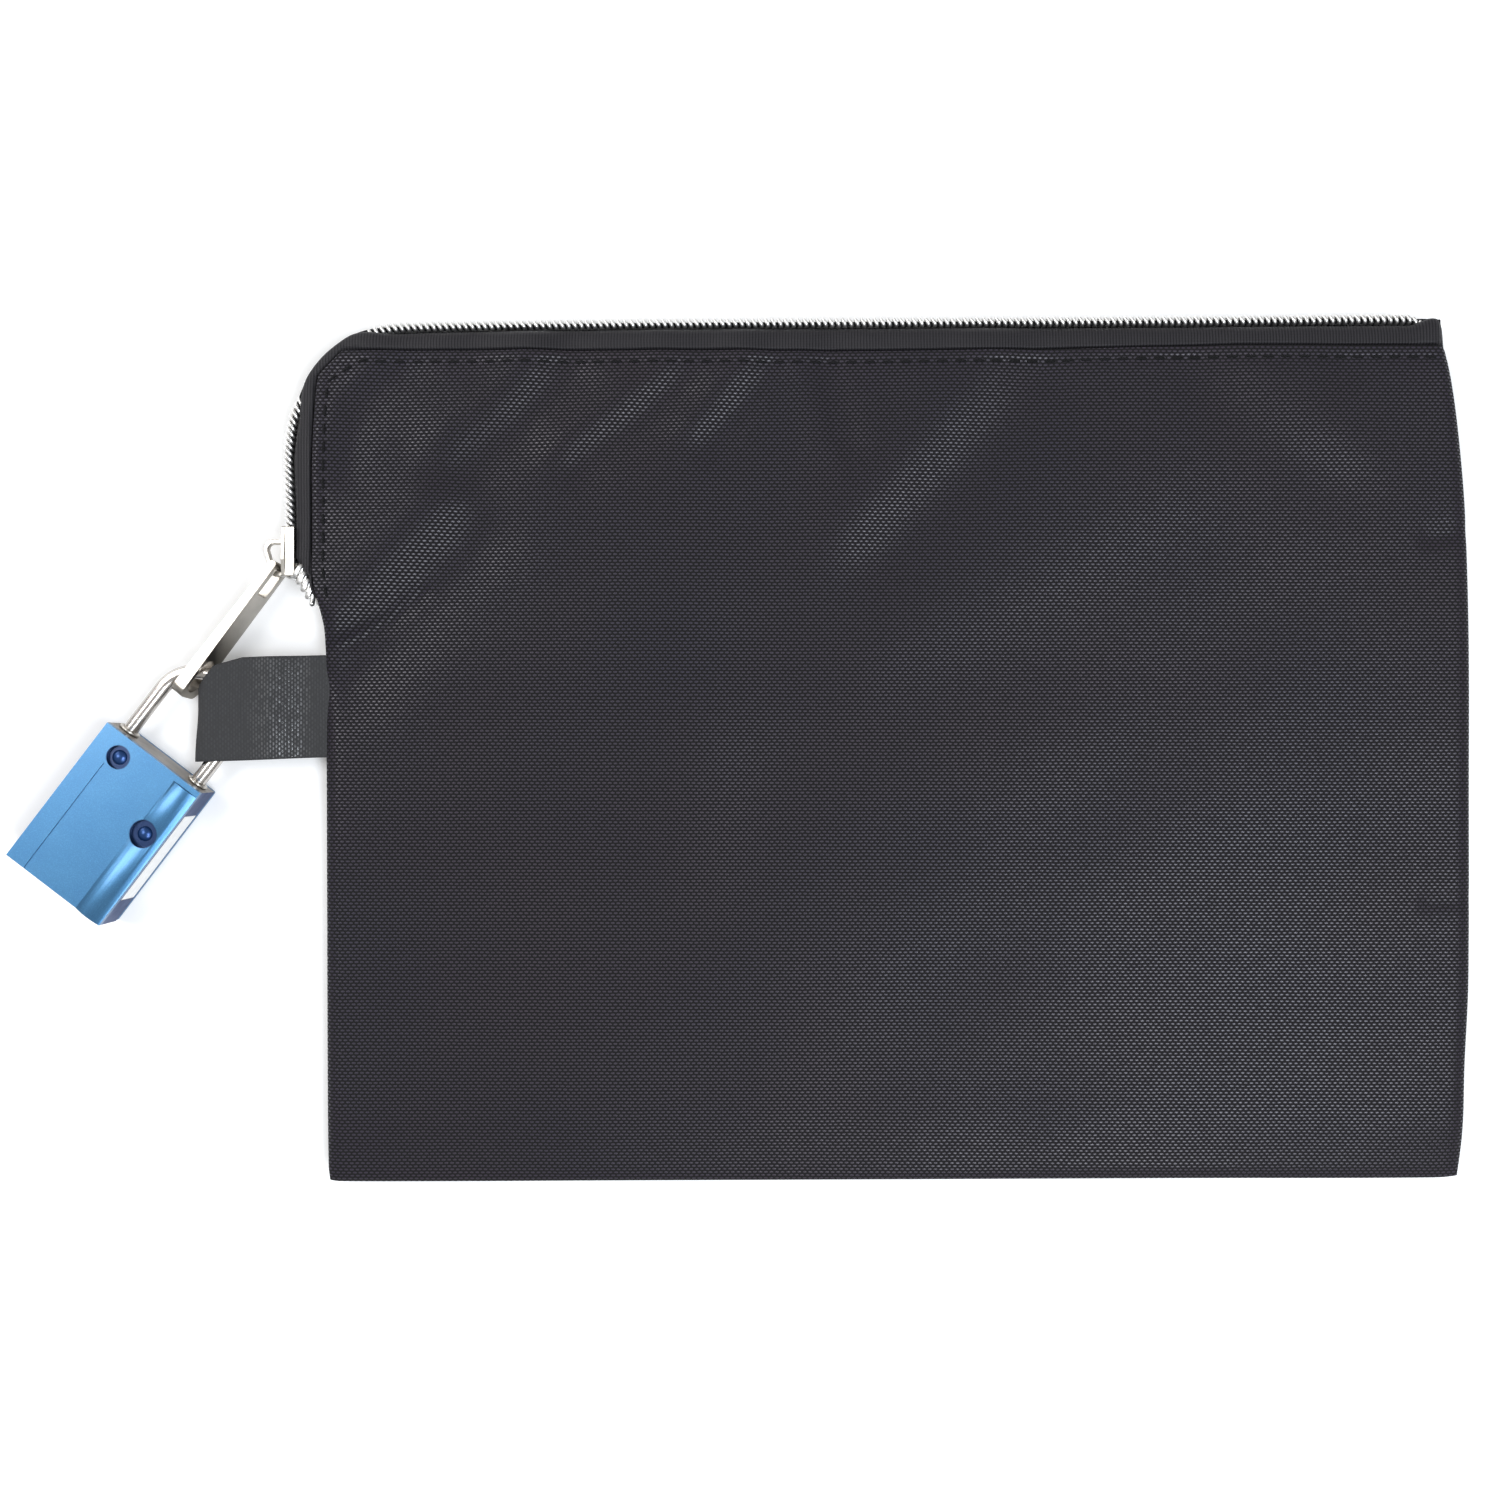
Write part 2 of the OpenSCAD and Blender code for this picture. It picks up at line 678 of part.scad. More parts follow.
module key_plug() {
  color(brass) in_lock_frame() difference() {
    union() {
      rod(0, lock_z, plug_r, plug_from, lock_h);
      rod(0, lock_z, tail_r, pawl_y + pawl_h / 2 + 2 * running, plug_from + past);
      rod(-cam_offset * sin(45), lock_z + cam_offset * cos(45), cam_r,
        pawl_y - pawl_h / 2 + 2 * fit, plug_from);
    }
    difference() {
      rod(0, lock_z, plug_r + past, plug_pin_y - plug_pin_r - 2 * fit, plug_pin_y + plug_pin_r + 2 * fit);
      rod(0, lock_z, plug_r - plug_groove, plug_pin_y - past, plug_pin_y + past);
    }
    translate([-keyway[0] / 2, -lock_h - past, lock_z - keyway[2] / 2])
      cube([keyway[0], keyway[1] + past, keyway[2]]);
    for (at = wafer_at) translate([0, -at, lock_z])
      cube([wafer_size[0] + 2 * fit, wafer_size[1] + 2 * fit, wafer_size[2] + 2 * fit], center = true);
  }
}

module wafers() {
  color(brass) in_lock_frame() for (at = wafer_at) translate([0, -at, lock_z]) difference() {
    cube(wafer_size, center = true);
    cube([key_hole[0], past, key_hole[1]], center = true);
  }
}

module latch_pawl() {
  slot = cam_r + cam_play;
  color(nickel) in_lock_frame() translate([0, -pawl_y, lock_z]) difference() {
    translate([-pawl_tail, -pawl_h / 2, -pawl_half]) cube([pawl_tail + nose_x, pawl_h, 2 * pawl_half]);
    translate([-pawl_throw / 2 - slot, -pawl_h, -slot_low]) cube([2 * slot, 2 * pawl_h, 2 * pawl_half]);
  }
}

module back_panel() {
  on_back() front_panel();
}

module back_fire_layer() {
  on_back() front_fire_layer();
}

module back_lining() {
  on_back() front_lining();
}

module back_zip_tape() {
  on_back() front_zip_tape();
}

module back_coil() {
  on_back() front_coil();
}

module back_topstitch() {
  on_back() front_topstitch();
}

front_panel();
back_panel();
front_fire_layer();
back_fire_layer();
front_lining();
back_lining();
front_zip_tape();
back_zip_tape();
front_coil();
back_coil();
front_topstitch();
back_topstitch();
zip_end_stop();
webbing_loop();
slider_body();
slider_bridge();
pull_tab();
shackle();
padlock_core();
padlock_front_cover();
padlock_back_cover();
rivets();
side_label();
shackle_collars();
shackle_spring();
heel_pin();
key_plug();
wafers();
plug_pin();
latch_pawl();
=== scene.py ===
"""Flat zip bag with a keyed padlock: soft pieces, finishes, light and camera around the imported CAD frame."""
import math

import bpy
import numpy as np
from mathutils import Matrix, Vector

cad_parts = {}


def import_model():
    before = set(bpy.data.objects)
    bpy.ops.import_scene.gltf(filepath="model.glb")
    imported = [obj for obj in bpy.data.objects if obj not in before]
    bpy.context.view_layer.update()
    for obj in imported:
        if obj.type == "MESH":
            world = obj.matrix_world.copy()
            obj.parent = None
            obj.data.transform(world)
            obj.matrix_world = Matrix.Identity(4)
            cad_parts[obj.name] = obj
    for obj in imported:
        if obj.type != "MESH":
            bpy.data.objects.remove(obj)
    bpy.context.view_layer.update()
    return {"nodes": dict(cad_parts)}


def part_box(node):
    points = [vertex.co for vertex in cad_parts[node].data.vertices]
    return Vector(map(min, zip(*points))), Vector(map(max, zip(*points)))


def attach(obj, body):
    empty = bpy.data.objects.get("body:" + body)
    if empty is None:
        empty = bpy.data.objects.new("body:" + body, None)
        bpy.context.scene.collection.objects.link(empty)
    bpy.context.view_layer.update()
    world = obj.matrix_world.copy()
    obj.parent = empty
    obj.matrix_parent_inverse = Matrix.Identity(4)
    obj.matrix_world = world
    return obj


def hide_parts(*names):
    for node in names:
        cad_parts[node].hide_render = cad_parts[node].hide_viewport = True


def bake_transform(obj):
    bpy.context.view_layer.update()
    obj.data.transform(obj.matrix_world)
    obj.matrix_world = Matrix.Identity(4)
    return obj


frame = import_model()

MM = 0.001

# Sizes in millimetres, read from the frame where it gives them
PANEL_LOW, PANEL_HIGH = ([c / MM for c in corner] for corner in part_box("front_panel"))
LEFT_X, RIGHT_X = PANEL_LOW[0], PANEL_HIGH[0]
BOTTOM_Y, TOP_Y = PANEL_LOW[1], PANEL_HIGH[1]
BAG_T = PANEL_HIGH[2]
MID_Z = BAG_T / 2
SEAM_Y = TOP_Y - 60  # below it the left side is sewn shut
ZIP_END_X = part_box("front_coil")[1][0] / MM
ZIP_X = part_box("front_coil")[0][0] / MM
SLIDER_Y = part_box("slider_body")[0][1] / MM
CHAIN_T = 2.2

# Cloth layers, from the outside in: depth below the outer face, and thickness
CLOTH_T = 0.7
FIRE_IN, FIRE_T = 0.85, 0.7
LINING_IN, LINING_T = 1.7, 0.35
LAYER_MOUTH_IN = 7.0  # how far the inner layers stay back from the zip
FAR = 99  # added to a distance that doesn't count


# ---------------------------------------------------------------- helpers
def new_object(name, verts, faces, smooth=True):
    """Mesh object from points in millimetres."""
    mesh = bpy.data.meshes.new(name)
    mesh.from_pydata([tuple(c * MM for c in v) for v in verts], [], faces)
    mesh.validate()
    mesh.polygons.foreach_set("use_smooth", [smooth] * len(mesh.polygons))
    obj = bpy.data.objects.new(name, mesh)
    bpy.context.scene.collection.objects.link(obj)
    return obj


def add_thickness(obj, thickness, offset):
    """Thickens a sheet: inwards with offset -1, to both sides with 0."""
    shell = obj.modifiers.new("thickness", "SOLIDIFY")
    shell.thickness = thickness * MM
    shell.offset = offset


def finish_piece(obj, body, material, nodes=()):
    """Gives a piece its finish and its body, and hides the CAD nodes that it stands for."""
    obj.data.materials.clear()
    obj.data.materials.append(material)
    if body:
        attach(obj, body)
    if nodes:
        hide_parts(*nodes)


def smooth_step(low, high, value):
    """0 at low, 1 at high, level at both. low may be the larger one."""
    t = np.clip((value - low) / (high - low), 0, 1)
    return t * t * (3 - 2 * t)


def at_point(function, *place):
    """One number from a function that works on arrays."""
    return float(function(*(np.array([c]) for c in place))[0])


def grid_faces(rows, cols, down_first=False, flip=False):
    """Quads between the points of a grid. down_first and flip set each quad's winding."""
    faces = []
    for r in range(rows - 1):
        for c in range(cols - 1):
            here, below = r * cols + c, (r + 1) * cols + c
            quad = (here, below, below + 1, here + 1) if down_first else (here, here + 1, below + 1, below)
            faces.append(tuple(reversed(quad)) if flip else quad)
    return faces


def tube_frames(path):
    """Side vectors of a round tube, carried along the path without twist."""
    tangents = []
    for i in range(len(path)):
        tangents.append((path[min(i + 1, len(path) - 1)] - path[max(i - 1, 0)]).normalized())
    side = tangents[0].orthogonal().normalized()
    frames = []
    for tangent in tangents:
        side = (side - tangent * side.dot(tangent)).normalized()
        frames.append((side, tangent.cross(side)))
    return frames


def tube(path, radius, sides):
    """Points and faces of a round tube with closed ends along an open path."""
    angles = [2 * math.pi * i / sides for i in range(sides)]
    profile = [(radius * math.cos(a), radius * math.sin(a)) for a in angles]
    verts, faces = [], []
    for point, (side, up) in zip(path, tube_frames(path)):
        verts += [point + side * a + up * b for a, b in profile]
    for i in range(len(path) - 1):
        low, high = i * sides, (i + 1) * sides
        faces += [(low + m, low + (m + 1) % sides, high + (m + 1) % sides, high + m) for m in range(sides)]
    faces += [tuple(reversed(range(sides))), tuple(range((len(path) - 1) * sides, len(path) * sides))]
    return verts, faces


# ---------------------------------------------------------------- materials
class Nodes:
    """Short form for building a node tree."""

    def __init__(self, name):
        self.material = bpy.data.materials.new(name)
        self.material.use_nodes = True
        self.tree = self.material.node_tree
        self.shader = self.tree.nodes["Principled BSDF"]

    def add(self, kind, inputs=None, **settings):
        node = self.tree.nodes.new(kind)
        for key, value in settings.items():
            setattr(node, key, value)
        for key, value in (inputs or {}).items():
            self.put(node.inputs[key], value)
        return node

    def put(self, socket, value):
        if isinstance(value, bpy.types.NodeSocket):
            self.tree.links.new(value, socket)
        else:
            socket.default_value = value

    def math(self, operation, a, b=0.0):
        return self.add("ShaderNodeMath", {0: a, 1: b}, operation=operation).outputs[0]

    def scaled(self, base, *terms):
        """base plus each value times its weight."""
        for value, weight in terms:
            base = self.math("ADD", base, self.math("MULTIPLY", value, weight))
        return base

    def vector(self, operation, a, b):
        return self.add("ShaderNodeVectorMath", {0: a, 1: b}, operation=operation)

    def split(self, vector):
        return self.add("ShaderNodeSeparateXYZ", {0: vector}).outputs

    def mix(self, factor, a, b):
        node = self.add("ShaderNodeMix", data_type="RGBA")
        for socket, value in ((node.inputs[0], factor), (node.inputs[6], a), (node.inputs[7], b)):
            self.put(socket, value)
        return node.outputs[2]

    def place(self):
        """The piece's own coordinates, in metres."""
        return self.add("ShaderNodeTexCoord").outputs["Object"]

    def noise(self, scale, detail=3.0, roughness=0.5, vector=None):
        inputs = {"Vector": vector or self.place(), "Scale": scale, "Detail": detail, "Roughness": roughness}
        return self.add("ShaderNodeTexNoise", inputs).outputs["Fac"]

    def spread(self, value, low, high):
        """Maps low..high to 0..1."""
        return self.add("ShaderNodeMapRange", {0: value, 1: low, 2: high}, clamp=True).outputs[0]

    def wave(self, value):
        """Sine of half a turn for each unit of value."""
        return self.math("SINE", self.math("MULTIPLY", value, math.pi))

    def bump(self, height, strength, distance):
        inputs = {"Height": height, "Strength": strength, "Distance": distance}
        return self.add("ShaderNodeBump", inputs).outputs["Normal"]

    def set(self, **inputs):
        for key, value in inputs.items():
            self.put(self.shader.inputs[key.replace("_", " ")], value)
        return self.material


def rgba(red, green, blue):
    return (red, green, blue, 1.0)


def dimmed(colour, share):
    return rgba(*(c * share for c in colour))


THREAD_DRIFT = 0.00022  # how far the threads of a weave wander, in metres
GROUND_ROUGHNESS = 0.9  # between the threads
PILLOW_ALONG, PILLOW_ACROSS = 0.36, 0.6  # powers that make a grain of the weave plump


def woven(name, dark, light, grain, depth, roughness=0.75, gloss=0.15, uneven=0.2, tint=None, upright=False,
          worn=()):
    """Plain weave in the piece's X and Y: rows of long grains, each row half a grain off its neighbours.

    grain is a grain's length and width in metres. The threads shine only where worn, a list of ranges in X that
    rise from 0 to 1, lets them.
    """
    n = Nodes(name)
    place = n.place()
    drift = n.add("ShaderNodeTexNoise", {"Vector": place, "Scale": 260.0, "Detail": 2.0}).outputs["Color"]
    centred = n.vector("SUBTRACT", drift, (0.5, 0.5, 0.5)).outputs[0]
    moved = n.vector("MULTIPLY", centred, (THREAD_DRIFT, THREAD_DRIFT, 0)).outputs[0]
    thread = n.split(n.vector("ADD", place, moved).outputs[0])
    length, width = (1, 0) if upright else (0, 1)
    rows = n.math("DIVIDE", thread[width], grain[1])
    row = n.math("FLOOR", rows)
    shift = n.math("MULTIPLY", n.math("FLOORED_MODULO", row, 2.0), 0.5)
    columns = n.math("ADD", n.math("DIVIDE", thread[length], grain[0]), shift)
    along = n.math("POWER", n.wave(n.math("FRACT", columns)), PILLOW_ALONG)
    across = n.math("POWER", n.wave(n.math("FRACT", rows)), PILLOW_ACROSS)
    pillow = n.math("MULTIPLY", along, across)
    cell = n.add("ShaderNodeCombineXYZ", {0: n.math("FLOOR", columns), 1: row}).outputs[0]
    lot = n.add("ShaderNodeTexWhiteNoise", {"Vector": cell}, noise_dimensions="2D").outputs["Value"]
    raised = n.math("MULTIPLY", pillow, n.scaled(1.0 - uneven, (lot, 2 * uneven)))
    height = n.scaled(raised, (n.noise(2600.0, 2.0, vector=place), 0.1))
    tone = n.spread(height, 0.70, 1.03)
    bright = rgba(*light)
    if tint:
        cloud = n.spread(n.noise(16.0, 3.0, 0.6, vector=place), 0.35, 0.65)
        bright = n.mix(cloud, bright, rgba(*tint))
    shine = tone
    for low, high in worn:
        shine = n.math("MULTIPLY", shine, n.spread(n.split(place)[0], low, high))
    return n.set(
        Base_Color=n.mix(tone, rgba(*dark), bright), Specular_IOR_Level=gloss,
        Roughness=n.scaled(GROUND_ROUGHNESS, (shine, roughness - GROUND_ROUGHNESS)),
        Normal=n.bump(height, 1.0, depth))


def ribbed(name, dark, light, pitch, depth):
    """Knitted tape: ribs across X, with fine yarn along them."""
    n = Nodes(name)
    place = n.place()
    x, y, _ = n.split(place)
    shifted = n.scaled(x, (n.noise(500.0, 2.0, vector=place), pitch * 0.25))
    rib = n.math("ABSOLUTE", n.math("SINE", n.math("MULTIPLY", shifted, math.pi / pitch)))
    yarn = n.math("ABSOLUTE", n.math("SINE", n.math("MULTIPLY", y, math.pi / (pitch * 0.55))))
    fibre = n.noise(3000.0, 2.0, vector=place)
    height = n.scaled(rib, (yarn, 0.3), (fibre, 0.2))
    return n.set(
        Base_Color=n.mix(n.spread(height, 0.3, 1.4), rgba(*dark), rgba(*light)),
        Roughness=n.scaled(0.42, (fibre, 0.2)), Specular_IOR_Level=0.2,
        Sheen_Weight=0.05, Sheen_Roughness=0.4, Normal=n.bump(height, 0.9, depth))


def metal(name, colour, roughness, scratch=0.00002, stain=0.12):
    """Plated or bare metal with fine grain, faint stains and small scratches."""
    n = Nodes(name)
    place = n.place()
    fine = n.noise(900.0, 4.0, 0.6, vector=place)
    patch = n.spread(n.noise(120.0, 4.0, 0.65, vector=place), 0.35, 0.75)
    return n.set(
        Base_Color=n.mix(patch, rgba(*colour), dimmed(colour, 1 - stain)), Metallic=1.0,
        Roughness=n.scaled(roughness, (patch, 0.12), (fine, 0.1)), Normal=n.bump(fine, 0.35, scratch))


# Painted shade in the padlock's rivet recesses: dark blue inside each recess, fading over a narrow rim.
RECESS_PAINTED_SHADE = rgba(0.007, 0.026, 0.09)
WELL_RIM_OUT, WELL_RIM_IN = 0.00025, 0.00005


def blue_enamel(name, colour, deep, shaded_wells=()):
    """Metallic blue finish: fine flakes under a clear coat. Shaded wells are round places of painted shade, darker
    blue in the recesses: x, y, radius.
    """
    n = Nodes(name)
    place = n.place()
    flake = n.noise(5200.0, 1.0, 0.5, vector=place)
    cloud = n.spread(n.noise(140.0, 4.0, 0.6, vector=place), 0.3, 0.75)
    scuff = n.spread(n.noise(900.0, 5.0, 0.75, vector=place), 0.62, 0.72)
    spark = rgba(*(min(1.0, 2.2 * c) for c in colour))
    body = n.mix(n.math("MULTIPLY", cloud, 0.5), rgba(*colour), rgba(*deep))
    body = n.mix(n.math("MULTIPLY", n.spread(flake, 0.45, 0.75), 0.2), body, spark)
    here_x, here_y, _ = n.split(place)
    # painted shade: each recess is painted darker where shade falls
    for x, y, radius in shaded_wells:
        dx, dy = n.math("SUBTRACT", here_x, x), n.math("SUBTRACT", here_y, y)
        gap = n.math("SQRT", n.math("ADD", n.math("MULTIPLY", dx, dx), n.math("MULTIPLY", dy, dy)))
        body = n.mix(n.spread(gap, radius + WELL_RIM_OUT, radius - WELL_RIM_IN), body, RECESS_PAINTED_SHADE)
    peel = n.noise(1500.0, 2.0, vector=place)
    return n.set(
        Base_Color=body, Metallic=0.75, Roughness=n.scaled(0.28, (scuff, 0.12), (flake, 0.12)),
        Coat_Weight=0.35, Coat_Roughness=0.18, Normal=n.bump(n.scaled(peel, (flake, 0.4)), 0.25, 0.00003))


def core_finish(name, top, paint, direction):
    """Die-cast core: bare on the face that the shackle enters, painted on the other faces."""
    n = Nodes(name)
    place = n.place()
    normal = n.add("ShaderNodeTexCoord").outputs["Normal"]
    bare = n.spread(n.vector("DOT_PRODUCT", normal, direction).outputs["Value"], 0.5, 0.8)
    grain = n.noise(800.0, 4.0, 0.6, vector=place)
    patch = n.spread(n.noise(150.0, 4.0, 0.65, vector=place), 0.35, 0.75)
    metal_tone = n.mix(patch, rgba(*top), dimmed(top, 0.7))
    paint_tone = n.mix(patch, rgba(*paint), dimmed(paint, 0.75))
    return n.set(
        Base_Color=n.mix(bare, paint_tone, metal_tone), Metallic=0.8,
        Roughness=n.scaled(0.36, (patch, 0.1), (grain, 0.1)), Normal=n.bump(grain, 0.35, 0.00004))


def paper_film(name):
    """White film with slight grime and wrinkles."""
    n = Nodes(name)
    place = n.place()
    wrinkle = n.noise(300.0, 4.0, 0.6, vector=place)
    grime = n.spread(n.noise(700.0, 5.0, 0.7, vector=place), 0.35, 0.7)
    return n.set(
        Base_Color=n.mix(grime, rgba(0.95, 0.95, 0.94), rgba(0.86, 0.86, 0.85)),
        Roughness=n.scaled(0.45, (grime, 0.15)), Normal=n.bump(wrinkle, 0.3, 0.00008))


def spun(name, colour):
    """Sewing thread with its twist."""
    n = Nodes(name)
    inputs = {"Vector": n.place(), "Scale": 900.0, "Distortion": 2.0, "Detail": 2.0}
    twist = n.add("ShaderNodeTexWave", inputs, bands_direction="DIAGONAL").outputs["Fac"]
    return n.set(
        Base_Color=n.mix(twist, rgba(*colour), dimmed(colour, 2.2)), Roughness=0.7, Sheen_Weight=0.03,
        Specular_IOR_Level=0.15, Normal=n.bump(twist, 0.6, 0.00008))


OUTER_CLOTH = woven(
    "outer_weave", (0.0024, 0.0018, 0.0030), (0.0385, 0.0285, 0.0420), (0.0013, 0.00076), 0.00005,
    roughness=0.26, gloss=0.4, uneven=0.03, tint=(0.0290, 0.0250, 0.0425))
FIRE_CLOTH = woven("glass_weave", (0.16, 0.165, 0.16), (0.42, 0.43, 0.41), (0.0024, 0.0012), 0.0002, roughness=0.5)
LINING_CLOTH = woven("lining_weave", (0.03, 0.03, 0.032), (0.11, 0.11, 0.115), (0.0008, 0.0005), 0.0001)
TAPE_CLOTH = ribbed("tape_knit", (0.0048, 0.0046, 0.0056), (0.031, 0.029, 0.033), 0.0007, 0.00005)
WEBBING = woven(
    "webbing_grosgrain", (0.011, 0.0115, 0.0135), (0.0225, 0.023, 0.026), (0.0011, 0.00065), 0.00004,
    roughness=0.22, gloss=1.0, upright=True, worn=[(-0.1515, -0.1435), (-0.1365, -0.1405)])
THREAD = spun("black_thread", (0.004, 0.004, 0.0045))
BLACKED = metal("blacked_steel", (0.03, 0.03, 0.032), 0.4)
NICKEL = metal("bright_nickel", (0.60, 0.57, 0.52), 0.2, scratch=0.000006)
# The pull tab's nickel is darker than the slider's: painted shade for the dim grey reflection on the tab's face.
TAB_SHADED_NICKEL = metal("tab_nickel_painted_shade", (0.46, 0.43, 0.385), 0.24, scratch=0.000006)
COIL = metal("silver_coil", (0.95, 0.94, 0.92), 0.25, stain=0.06)
STEEL = metal("polished_steel", (0.66, 0.62, 0.58), 0.14, scratch=0.000006)
LOCK_UP = (0.60738, 0.79441, 0.0)  # from the padlock's body to its shackle
CORE_METAL = core_finish("die_cast", (0.40, 0.37, 0.34), (0.035, 0.07, 0.19), LOCK_UP)
BRASS = metal("turned_brass", (0.75, 0.56, 0.26), 0.25)
# Rivet recesses of the front cover, which get painted shade: x, y, radius in metres.
RECESSES = [(-0.18032, 0.00182, 0.0027), (-0.17446, -0.01588, 0.0032)]
BLUE = blue_enamel("blue_enamel", (0.056, 0.182, 0.345), (0.039, 0.142, 0.305), RECESSES)
# The rivets' dark navy is painted shade: much darker than the cover's blue, standing in for the shade down in their
# recesses.
RIVET_SHADE_NAVY = blue_enamel("rivet_navy_painted_shade", (0.015, 0.06, 0.20), (0.01, 0.04, 0.14))
LABEL = paper_film("bare_label")


# ---------------------------------------------------------------- outline of the bag as it lies
def curve(points, steps=24):
    """Smooth single-valued curve through points, sorted by their first number."""
    pts = [points[0]] + list(points) + [points[-1]]
    xs, ys = [], []
    for p0, p1, p2, p3 in zip(pts, pts[1:], pts[2:], pts[3:]):
        for i in range(steps):
            t = i / steps
            m1 = (p2[1] - p0[1]) / max(p2[0] - p0[0], 1e-9)
            m2 = (p3[1] - p1[1]) / max(p3[0] - p1[0], 1e-9)
            w = p2[0] - p1[0]
            xs.append(p1[0] + w * t)
            ys.append((2 * t**3 - 3 * t**2 + 1) * p1[1] + (t**3 - 2 * t**2 + t) * w * m1
                      + (3 * t**2 - 2 * t**3) * p2[1] + (t**3 - t**2) * w * m2)
    xs.append(points[-1][0])
    ys.append(points[-1][1])
    return lambda v: np.interp(v, xs, ys)


LEFT_EDGE = curve([
    (-99, -132.7), (-94, -133.3), (0, -133.7), (28, -133.9), (37, -134.5),
    (45, -135.6), (60, -135.9), (76, -135.7), (90, -134.9), (99, -134.6)])
RIGHT_EDGE = curve([
    (-98, 131.6), (-86, 132.9), (-70, 133.4), (-50, 134.3), (0, 134.4),
    (30, 134.3), (55, 133.6), (70, 132.5), (86, 130.6), (98, 128.2)])
BOTTOM_EDGE = curve([(-136, -97.2), (-131, -97.8), (-60, -97.6), (60, -97.1), (128, -96.9), (136, -96.2)])
TOP_EDGE = curve([(-136, 96.2), (-60, 96.2), (20, 96.3), (50, 96.9), (80, 97.4), (136, 97.4)])
CHAMFER_FROM = 90.6
CHAMFER_ROUND, CHAMFER_RUN = 0.35, 1.2


def left_at(y):
    """Left edge with the cut-off corner at the zip's bend."""
    slant = np.maximum(0.0, y - CHAMFER_FROM)
    return LEFT_EDGE(y) + slant + CHAMFER_ROUND * np.exp(-np.abs(y - CHAMFER_FROM) / CHAMFER_RUN)


def closed_left(y):
    """1 where the left side is sewn shut, 0 along the zip."""
    return 1 - smooth_step(SEAM_Y - 6, SEAM_Y + 4, y)


def closed_top(x):
    """1 beyond the zip's right end, 0 along the zip."""
    return smooth_step(ZIP_END_X + 2, ZIP_END_X + 6, x)


def roll(distance, radius):
    """Quarter round: 0 at the edge, 1 from radius on."""
    return np.sqrt(1 - (1 - np.clip(distance / radius, 0, 1)) ** 2)


# Creases of the front: points, half widths on the left and right of the line, height (negative for a valley)
CREASES = [
    ([(-134, 26.2), (-126, 29.4), (-118, 34.0), (-111, 40.5)], (1.4, 1.5), -1.0),
    ([(-60, 60), (-62, 30), (-45, -10)], (26, 26), 0.6),
    ([(60, 10), (20, -40), (-10, -75)], (20, 20), -0.5),
    ([(135, -31), (124, -32)], (2, 2), -0.5),
    ([(135, 55), (124, 53)], (2.2, 2.2), -0.7),
    ([(125, -88), (40, -90)], (9, 9), 0.5),
]
# Folds of the front: each runs along its points as a slope that faces right of them. Half width, steepest angle.
FOLDS = [
    ([(-133, 26.0), (-125.5, 34.4), (-114.5, 45.9), (-105.5, 54.4)], 11.0, 23),
    ([(-131, 70), (-128, 84), (-118, 94)], 5.5, 12),
    ([(-101, 74), (-91, 81.5), (-81, 93.5)], 8.0, 18),
    ([(-75, 73), (-64, 81), (-53.5, 90)], 6.0, 21),
    ([(-45, 78), (-38, 86), (-33, 93)], 5.5, 18),
    ([(-15, 75), (-17, 85), (-18.6, 93)], 5.0, 15),
    ([(-7, 54), (11, 73), (28.5, 94)], 11.0, 12.5),
    ([(77, 90), (103, 70)], 9.0, 5),
    ([(0, 22), (33, 40), (63, 55)], 13.0, 2.5),
    ([(-42, -15), (-37, 20), (-44, 54)], 18.0, 3),
]
# Slow waves of the cloth: half waves per millimetre in X and Y, phase, height
RIPPLES = [
    (0.031, 0.017, 0.4, 0.12), (0.052, -0.043, 1.9, 0.03),
    (-0.021, 0.066, 3.1, 0.05), (0.011, -0.024, 5.0, 0.2)]


def bell(value, middle, width):
    return np.exp(-((value - middle) / width) ** 2)


def nearest(points, x, y):
    """Distance to a line through points, and how far to its right each place lies."""
    best, right = np.full_like(x, 1e9), np.zeros_like(x)
    for (ax, ay), (bx, by) in zip(points, points[1:]):
        dx, dy = bx - ax, by - ay
        length = math.hypot(dx, dy)
        t = np.clip(((x - ax) * dx + (y - ay) * dy) / length**2, 0, 1)
        gap = np.hypot(x - ax - t * dx, y - ay - t * dy)
        nearer = gap < best
        best = np.where(nearer, gap, best)
        right = np.where(nearer, ((x - ax) * dy - (y - ay) * dx) / length, right)
    return best, right


def fold_height(x, y):
    """Height that the creases and folds add to the front."""
    total = np.zeros_like(x)
    for points, (left_width, right_width), height in CREASES:
        gap, right = nearest(points, x, y)
        total += height * bell(gap, 0, np.where(right > 0, right_width, left_width))
    for points, width, angle in FOLDS:
        gap, right = nearest(points, x, y)
        total -= math.tan(math.radians(angle)) * right * bell(gap, 0, width)
    return total


def ripple(x, y):
    """Slow unevenness of the cloth, the same in every run."""
    return sum(height * np.sin(math.pi * (fx * x + fy * y) + phase) for fx, fy, phase, height in RIPPLES)


STITCH_IN = 2.6  # row of stitches, from the edge of the cloth
GATHER_IN, GATHER_WIDE = 4.5, 5.0


def gather(x, y):
    """Small scallops where the stitching draws the cloth in along the zip, and the groove that it lies in."""
    depth_top = TOP_EDGE(x) - y
    depth_left = x - left_at(y)
    top = 0.22 * bell(depth_top, GATHER_IN, GATHER_WIDE) * (np.sin(x / 2.9) * 0.6 + np.sin(x / 6.7 + 1.0))
    side = 0.10 * bell(depth_left, GATHER_IN, GATHER_WIDE) * np.sin(y / 3.1) * smooth_step(SEAM_Y, SEAM_Y + 10, y)
    to_seam = depth_left + FAR * (1 - smooth_step(SEAM_Y - 8, SEAM_Y + 4, y))
    groove = -0.12 * bell(np.minimum(depth_top, to_seam), STITCH_IN, 1.1)
    return top + side + groove


